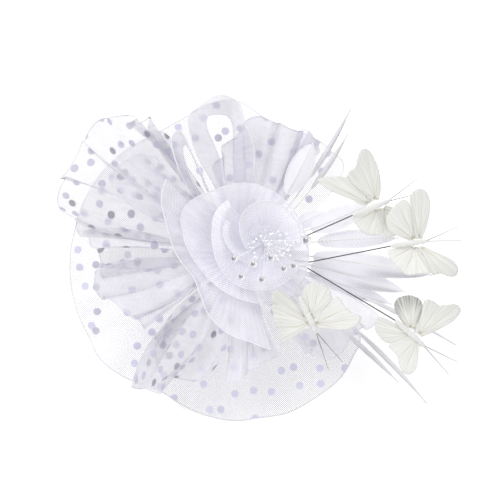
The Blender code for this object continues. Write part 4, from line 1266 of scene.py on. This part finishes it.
def make_pearl(number, pearl):
    """A pearl on the end of its arched wire, which springs from the rose's core."""
    end = Vector((pearl.x, pearl.y, pearl.z)) * MM
    root = CUP_CORE + polar(pearl.foot, PEARL_ROOT_RADIUS)
    foot = Vector((root.x, root.y, collar_under(root) + SHEET_WALL / 2 + SEAT_GAP * 2))
    peak = Vector((root.x, root.y, PEARL_ARCH))
    dress(ball(f"pearl_{number}_bead", end, PEARL_RADIUS * pearl.size), "pearl", f"pearl_{number}")
    dress(wire(f"pearl_{number}_thread", arc_points(foot, peak, end, 24), PEARL_WIRE_RADIUS, 1), "clear_thread")


def make_seed_beads():
    """The cluster of small crystals on short threads between the folds of the rose."""
    chance = random.Random(7)
    stones, threads = bmesh.new(), []
    for _ in range(CRYSTAL_COUNT):
        angle, reach = chance.uniform(0, 360), math.sqrt(chance.random())
        spread = polar(angle, reach)
        plan = CRYSTAL_CENTRE + Vector((spread.x * CRYSTAL_REACH_X, spread.y * CRYSTAL_REACH_Y))
        height = (36 + 6 * chance.random()) * MM
        centre = Vector((plan.x, plan.y, height))
        radius = chance.uniform(0.8, 1.35) * MM
        bead = bmesh.ops.create_icosphere(stones, subdivisions=1, radius=radius)["verts"]
        turn = Matrix.Rotation(chance.uniform(0, math.pi), 4, (chance.random(), chance.random(), 1))
        bmesh.ops.transform(stones, matrix=Matrix.Translation(centre) @ turn, verts=bead)
        root = CUP_CORE + (plan - CUP_CORE) * 0.25
        level = (collar_under(root) or ROSE_HEIGHT * 0.3) + SHEET_WALL
        threads.append([Vector((root.x, root.y, level)), centre])
    mesh = bpy.data.meshes.new("seed_crystals")
    stones.to_mesh(mesh)
    stones.free()
    obj = bpy.data.objects.new("seed_crystals", mesh)
    bpy.context.scene.collection.objects.link(obj)
    dress(obj, "crystal")
    dress(joined("seed_threads", [wire("thread", line, 0.12 * MM, 0) for line in threads]), "clear_thread")


def joined(name, objects):
    bpy.ops.object.select_all(action="DESELECT")
    for obj in objects:
        obj.select_set(True)
    bpy.context.view_layer.objects.active = objects[0]
    bpy.ops.object.join()
    obj = bpy.context.object
    obj.name = name
    return obj


def make_feather(feather):
    """A shaft with barbs on both sides, each barb a thin strip that sweeps towards the tip."""
    chance = random.Random(feather.name)
    start = Vector((*polar(feather.foot_angle, feather.foot_reach * MM), feather.foot_height * MM))
    end = Vector((*polar(feather.tip_angle, feather.tip_reach * MM), feather.tip_height * MM))
    side = Vector((-(end - start).y, (end - start).x, 0)).normalized()
    middle = (start + end) / 2 + side * feather.bow * MM + Vector((0, 0, feather.arch * MM))
    length = (end - start).length

    def spine(along):
        return start * (1 - along) ** 2 + middle * (2 * along * (1 - along)) + end * along**2

    def heading(along):
        return ((middle - start) * (1 - along) + (end - middle) * along).normalized()

    def half_width(along):
        share = (along - feather.vane) / (1 - feather.vane)
        if share <= 0 or share >= 1:
            return 0.0
        return math.sin(math.pi * share**0.75) ** 0.65 * feather.width * MM / 2

    points, faces, barb_uv, vane_uv = [], [], [], []
    pieces = 5
    step = 0.55 * MM / length
    count = int((1 - feather.vane) / step)
    for sign in (-1, 1):
        for index in range(count):
            along = feather.vane + (index + 0.5) * step
            root = spine(along)
            forward = heading(along)
            out = Vector((-forward.y, forward.x, 0)).normalized() * sign
            reach = max(half_width(min(0.999, along + 0.03)), 0.6 * MM) * chance.uniform(0.97, 1.03)
            sweep = reach * (1.1 if feather.width < 8 else 0.75)
            droop = 0.16 + chance.uniform(-0.04, 0.04)
            seed = chance.random() * 40
            width = 1.6 * step * length
            low = len(points)
            for k in range(pieces + 1):
                t = k / pieces
                spot = root + out * reach * t + forward * sweep * (0.35 * t + 0.65 * t * t)
                spot += Vector((0, 0, (-droop * reach * t) + (index % 2) * 0.08 * MM))
                thin = width * (1 - 0.55 * t**2) / 2
                for edge in (-1, 1):
                    points.append(spot + forward * thin * edge)
                    barb_uv.append((seed + edge * 0.02, t * 6))
                    vane_uv.append((0.5 + 0.5 * sign * t, along))
            for k in range(pieces):
                a = low + 2 * k
                faces.append((a, a + 1, a + 3, a + 2) if sign < 0 else (a, a + 2, a + 3, a + 1))
    vane = mesh_piece(f"{feather.name}_vane", points, faces)
    write_uv(vane.data, "barb", barb_uv)
    write_uv(vane.data, "vane", vane_uv)
    dress(vane, feather.look, feather.name)
    shaft = wire(f"{feather.name}_shaft", [spine(i / 30 * 0.985) for i in range(31)], SHAFT_RADIUS, 2,
                 lambda share: 1.0 - 0.8 * share)
    dress(shaft, "feather_shaft")


def make_wing(fly, wing):
    """A feather wing within its rim, slightly cupped, with raised veins and a fringed edge."""
    side = 1 if wing.side == "left" else -1
    name = f"butterfly_{wing.fly}_{wing.kind}_wing_{wing.side}"
    chance = random.Random(name)
    centre = Vector((fly.x, fly.y)) * MM
    ahead = polar(fly.heading, 1)
    aside = Vector((-ahead.y, ahead.x)) * side
    level = (fly.z - (0 if wing.kind == "fore" else HIND_WING_DROP)) * MM
    climb = math.tan(math.radians(wing.rise))
    rim = [from_photo(spot, level) for spot in wing.rim]
    rim_rows = [Spot(point.x, point.y) for point in rim]
    root = (rim[0] + rim[-1]) / 2
    columns, rows = 120, 14
    fringe = [chance.uniform(-0.010, 0.006) for _ in range(columns + 1)]

    def surface(i, j):
        across, along = i / columns, j / rows
        edge = Vector((along_rows(rim_rows, across, "x"), along_rows(rim_rows, across, "y")))
        edge = root + (edge - root) * (1 + (fringe[i] if j == rows else 0))
        plan = root.lerp(edge, 0.04 + 0.96 * along)
        outward = max(0.0, (plan - centre).dot(aside) - BODY_RADIUS)
        cup = 1.4 * MM * math.sin(math.pi * across) * along**2
        vein = 0.2 * MM * math.cos(math.tau * across * WING_VEINS) * (1 - along)
        wave = noise.noise(Vector((plan.x, plan.y, 0)) / (11 * MM)) * 0.9 * MM * along
        return Vector((plan.x, plan.y, level + outward * climb + cup + vein + wave))

    points = [surface(i, j) for i in range(columns + 1) for j in range(rows + 1)]
    faces = []
    for i in range(columns):
        for j in range(rows):
            low = i * (rows + 1) + j
            faces.append((low, low + rows + 1, low + rows + 2, low + 1))
    obj = mesh_piece(f"{name}_vane", points, faces)
    write_uv(obj.data, "wing", [(i / columns, j / rows) for i in range(columns + 1) for j in range(rows + 1)])
    write_uv(obj.data, "shade", [(wing.shade, 0.5)] * len(points))
    wall = obj.modifiers.new("wall", "SOLIDIFY")
    wall.thickness = WING_WALL
    wall.offset = 0
    apply_modifiers(obj)
    dress(obj, "butterfly_wing", name)


def apply_modifiers(obj):
    bpy.ops.object.select_all(action="DESELECT")
    obj.select_set(True)
    bpy.context.view_layer.objects.active = obj
    for modifier in list(obj.modifiers):
        bpy.ops.object.modifier_apply(modifier=modifier.name)


def make_butterfly(fly):
    """Four feather wings, a body wound with thread, two feelers, and the wire stem that holds it up."""
    middle = Vector((fly.x, fly.y, fly.z)) * MM
    place = Matrix.Translation(middle) @ Matrix.Rotation(math.radians(fly.heading), 4, "Z")
    sized = place @ Matrix.Scale(fly.size, 4)
    bpy.ops.object.select_all(action="DESELECT")
    bpy.ops.mesh.primitive_uv_sphere_add(segments=28, ring_count=90, radius=1)
    body = bpy.context.object
    body.name = f"butterfly_{fly.name}_thread_body"
    for vertex in body.data.vertices:
        run = vertex.co.z
        thick = math.hypot(vertex.co.x, vertex.co.y)
        turn = math.atan2(vertex.co.y, vertex.co.x)
        waist = 1 - 0.30 * math.exp(-((run - 0.60) / 0.08) ** 2) - 0.12 * math.exp(-((run + 0.1) / 0.12) ** 2)
        wound = 1 + 0.07 * math.sin(run * 150 + turn)
        swell = thick**0.25 if thick > 0 else 0
        radius = BODY_WINDING * BODY_RADIUS * (0.55 + 0.45 * thick) * swell * waist * wound
        vertex.co = Vector((run * BODY_LENGTH / 2, radius * math.cos(turn), radius * math.sin(turn)))
    body.data.shade_smooth()
    body.data.transform(sized)
    dress(body, "wrapped_cotton", f"butterfly_{fly.name}_body")
    head = Vector((BODY_LENGTH * 0.44, 0, 0))
    for side, angle in zip(("left", "right"), FEELER_ANGLES):
        end = head + Vector((*polar(angle, FEELER_LENGTH), 4 * MM))
        points = arc_points(head, (head + end) / 2 + Vector((0, 0, 2 * MM)), end, 20)
        feeler = wire(f"butterfly_{fly.name}_feeler_{side}", [sized @ p for p in points], FEELER_RADIUS, 2,
                      lambda share: 1.0 - 0.5 * share)
        dress(feeler, "black_wire")
    for wing in WINGS:
        if wing.fly == fly.name:
            make_wing(fly, wing)
    make_stem(fly, sized)


def make_stem(fly, place):
    """The wire from the saucer, under the collar, round its bend and up to the body."""
    if fly.hold < 0:
        end = place @ Vector((-BODY_LENGTH / 2 + 1 * MM, 0, 0))
    else:
        end = place @ Vector((BODY_LENGTH * fly.hold, 0, -BODY_RADIUS * 0.6))
    bend = Vector((fly.bend_x, fly.bend_y, fly.bend_z)) * MM
    foot = Vector((*polar(fly.foot, STEM_FOOT), SHEET_WALL + SEAT_GAP * 2 + 1.2 * MM))
    points = [foot.lerp(bend, i / 8) for i in range(8)] + arc_points(bend, bend.lerp(end, 0.5), end, 16)
    look = "wrapped_cotton" if fly.name == "near" else "black_wire"
    dress(wire(f"butterfly_{fly.name}_wire", points, STEM_RADIUS), look, f"butterfly_{fly.name}_stem")


def dress_headband():
    """The band keeps its solid and takes the satin."""
    band = frame["nodes"]["headband"]
    for slot in band.material_slots:
        slot.material = FINISHES["satin"]


def make_studio():
    """A plain pale floor under soft white light."""
    bpy.context.scene.view_settings.view_transform = "Standard"
    bpy.ops.object.select_all(action="DESELECT")
    bpy.ops.mesh.primitive_plane_add(size=6)
    floor = bpy.context.object
    floor.name = "studio_floor"
    paper = Finish("studio_floor", 0.9)
    where = paper.add("ShaderNodeTexCoord").outputs["Object"]
    grain = paper.add("ShaderNodeTexNoise", Vector=where, Scale=300.0, Detail=2.0).outputs[0]
    paper.set(Base_Color=paper.mix(grain, (0.92, 0.92, 0.92, 1), (0.94, 0.94, 0.94, 1)))
    paper.set(Emission_Color=(1, 1, 1, 1), Emission_Strength=0.29)
    floor.data.materials.append(paper.material)
    world = bpy.data.worlds.new("studio_world")
    world.use_nodes = True
    world.node_tree.nodes["Background"].inputs["Color"].default_value = (1.0, 1.0, 1.0, 1)
    world.node_tree.nodes["Background"].inputs["Strength"].default_value = 0.62
    bpy.context.scene.world = world
    Lamp = namedtuple("Lamp", "name x y z size power")
    lamps = (
        Lamp("key_softbox", -0.9, 0.2, 1.5, 0.9, 13.0),
        Lamp("fill_softbox", 1.1, -0.7, 1.1, 1.2, 5.0),
    )
    for lamp in lamps:
        light = bpy.data.lights.new(lamp.name, "AREA")
        light.size = lamp.size
        light.energy = lamp.power
        obj = bpy.data.objects.new(lamp.name, light)
        bpy.context.scene.collection.objects.link(obj)
        obj.location = (lamp.x, lamp.y, lamp.z)
        obj.rotation_euler = (FACE.translation - obj.location).to_track_quat("-Z", "Y").to_euler()


make_saucer()
for sheet in SHEETS:
    make_sheet(sheet)
for loop in LOOPS:
    make_loop(loop)
make_collar()
for wall in WALLS:
    make_wall(wall)
for number, pearl in enumerate(PEARLS, 1):
    make_pearl(number, pearl)
make_seed_beads()
for feather in FEATHERS:
    make_feather(feather)
for fly in BUTTERFLIES:
    make_butterfly(fly)
dress_headband()
make_studio()
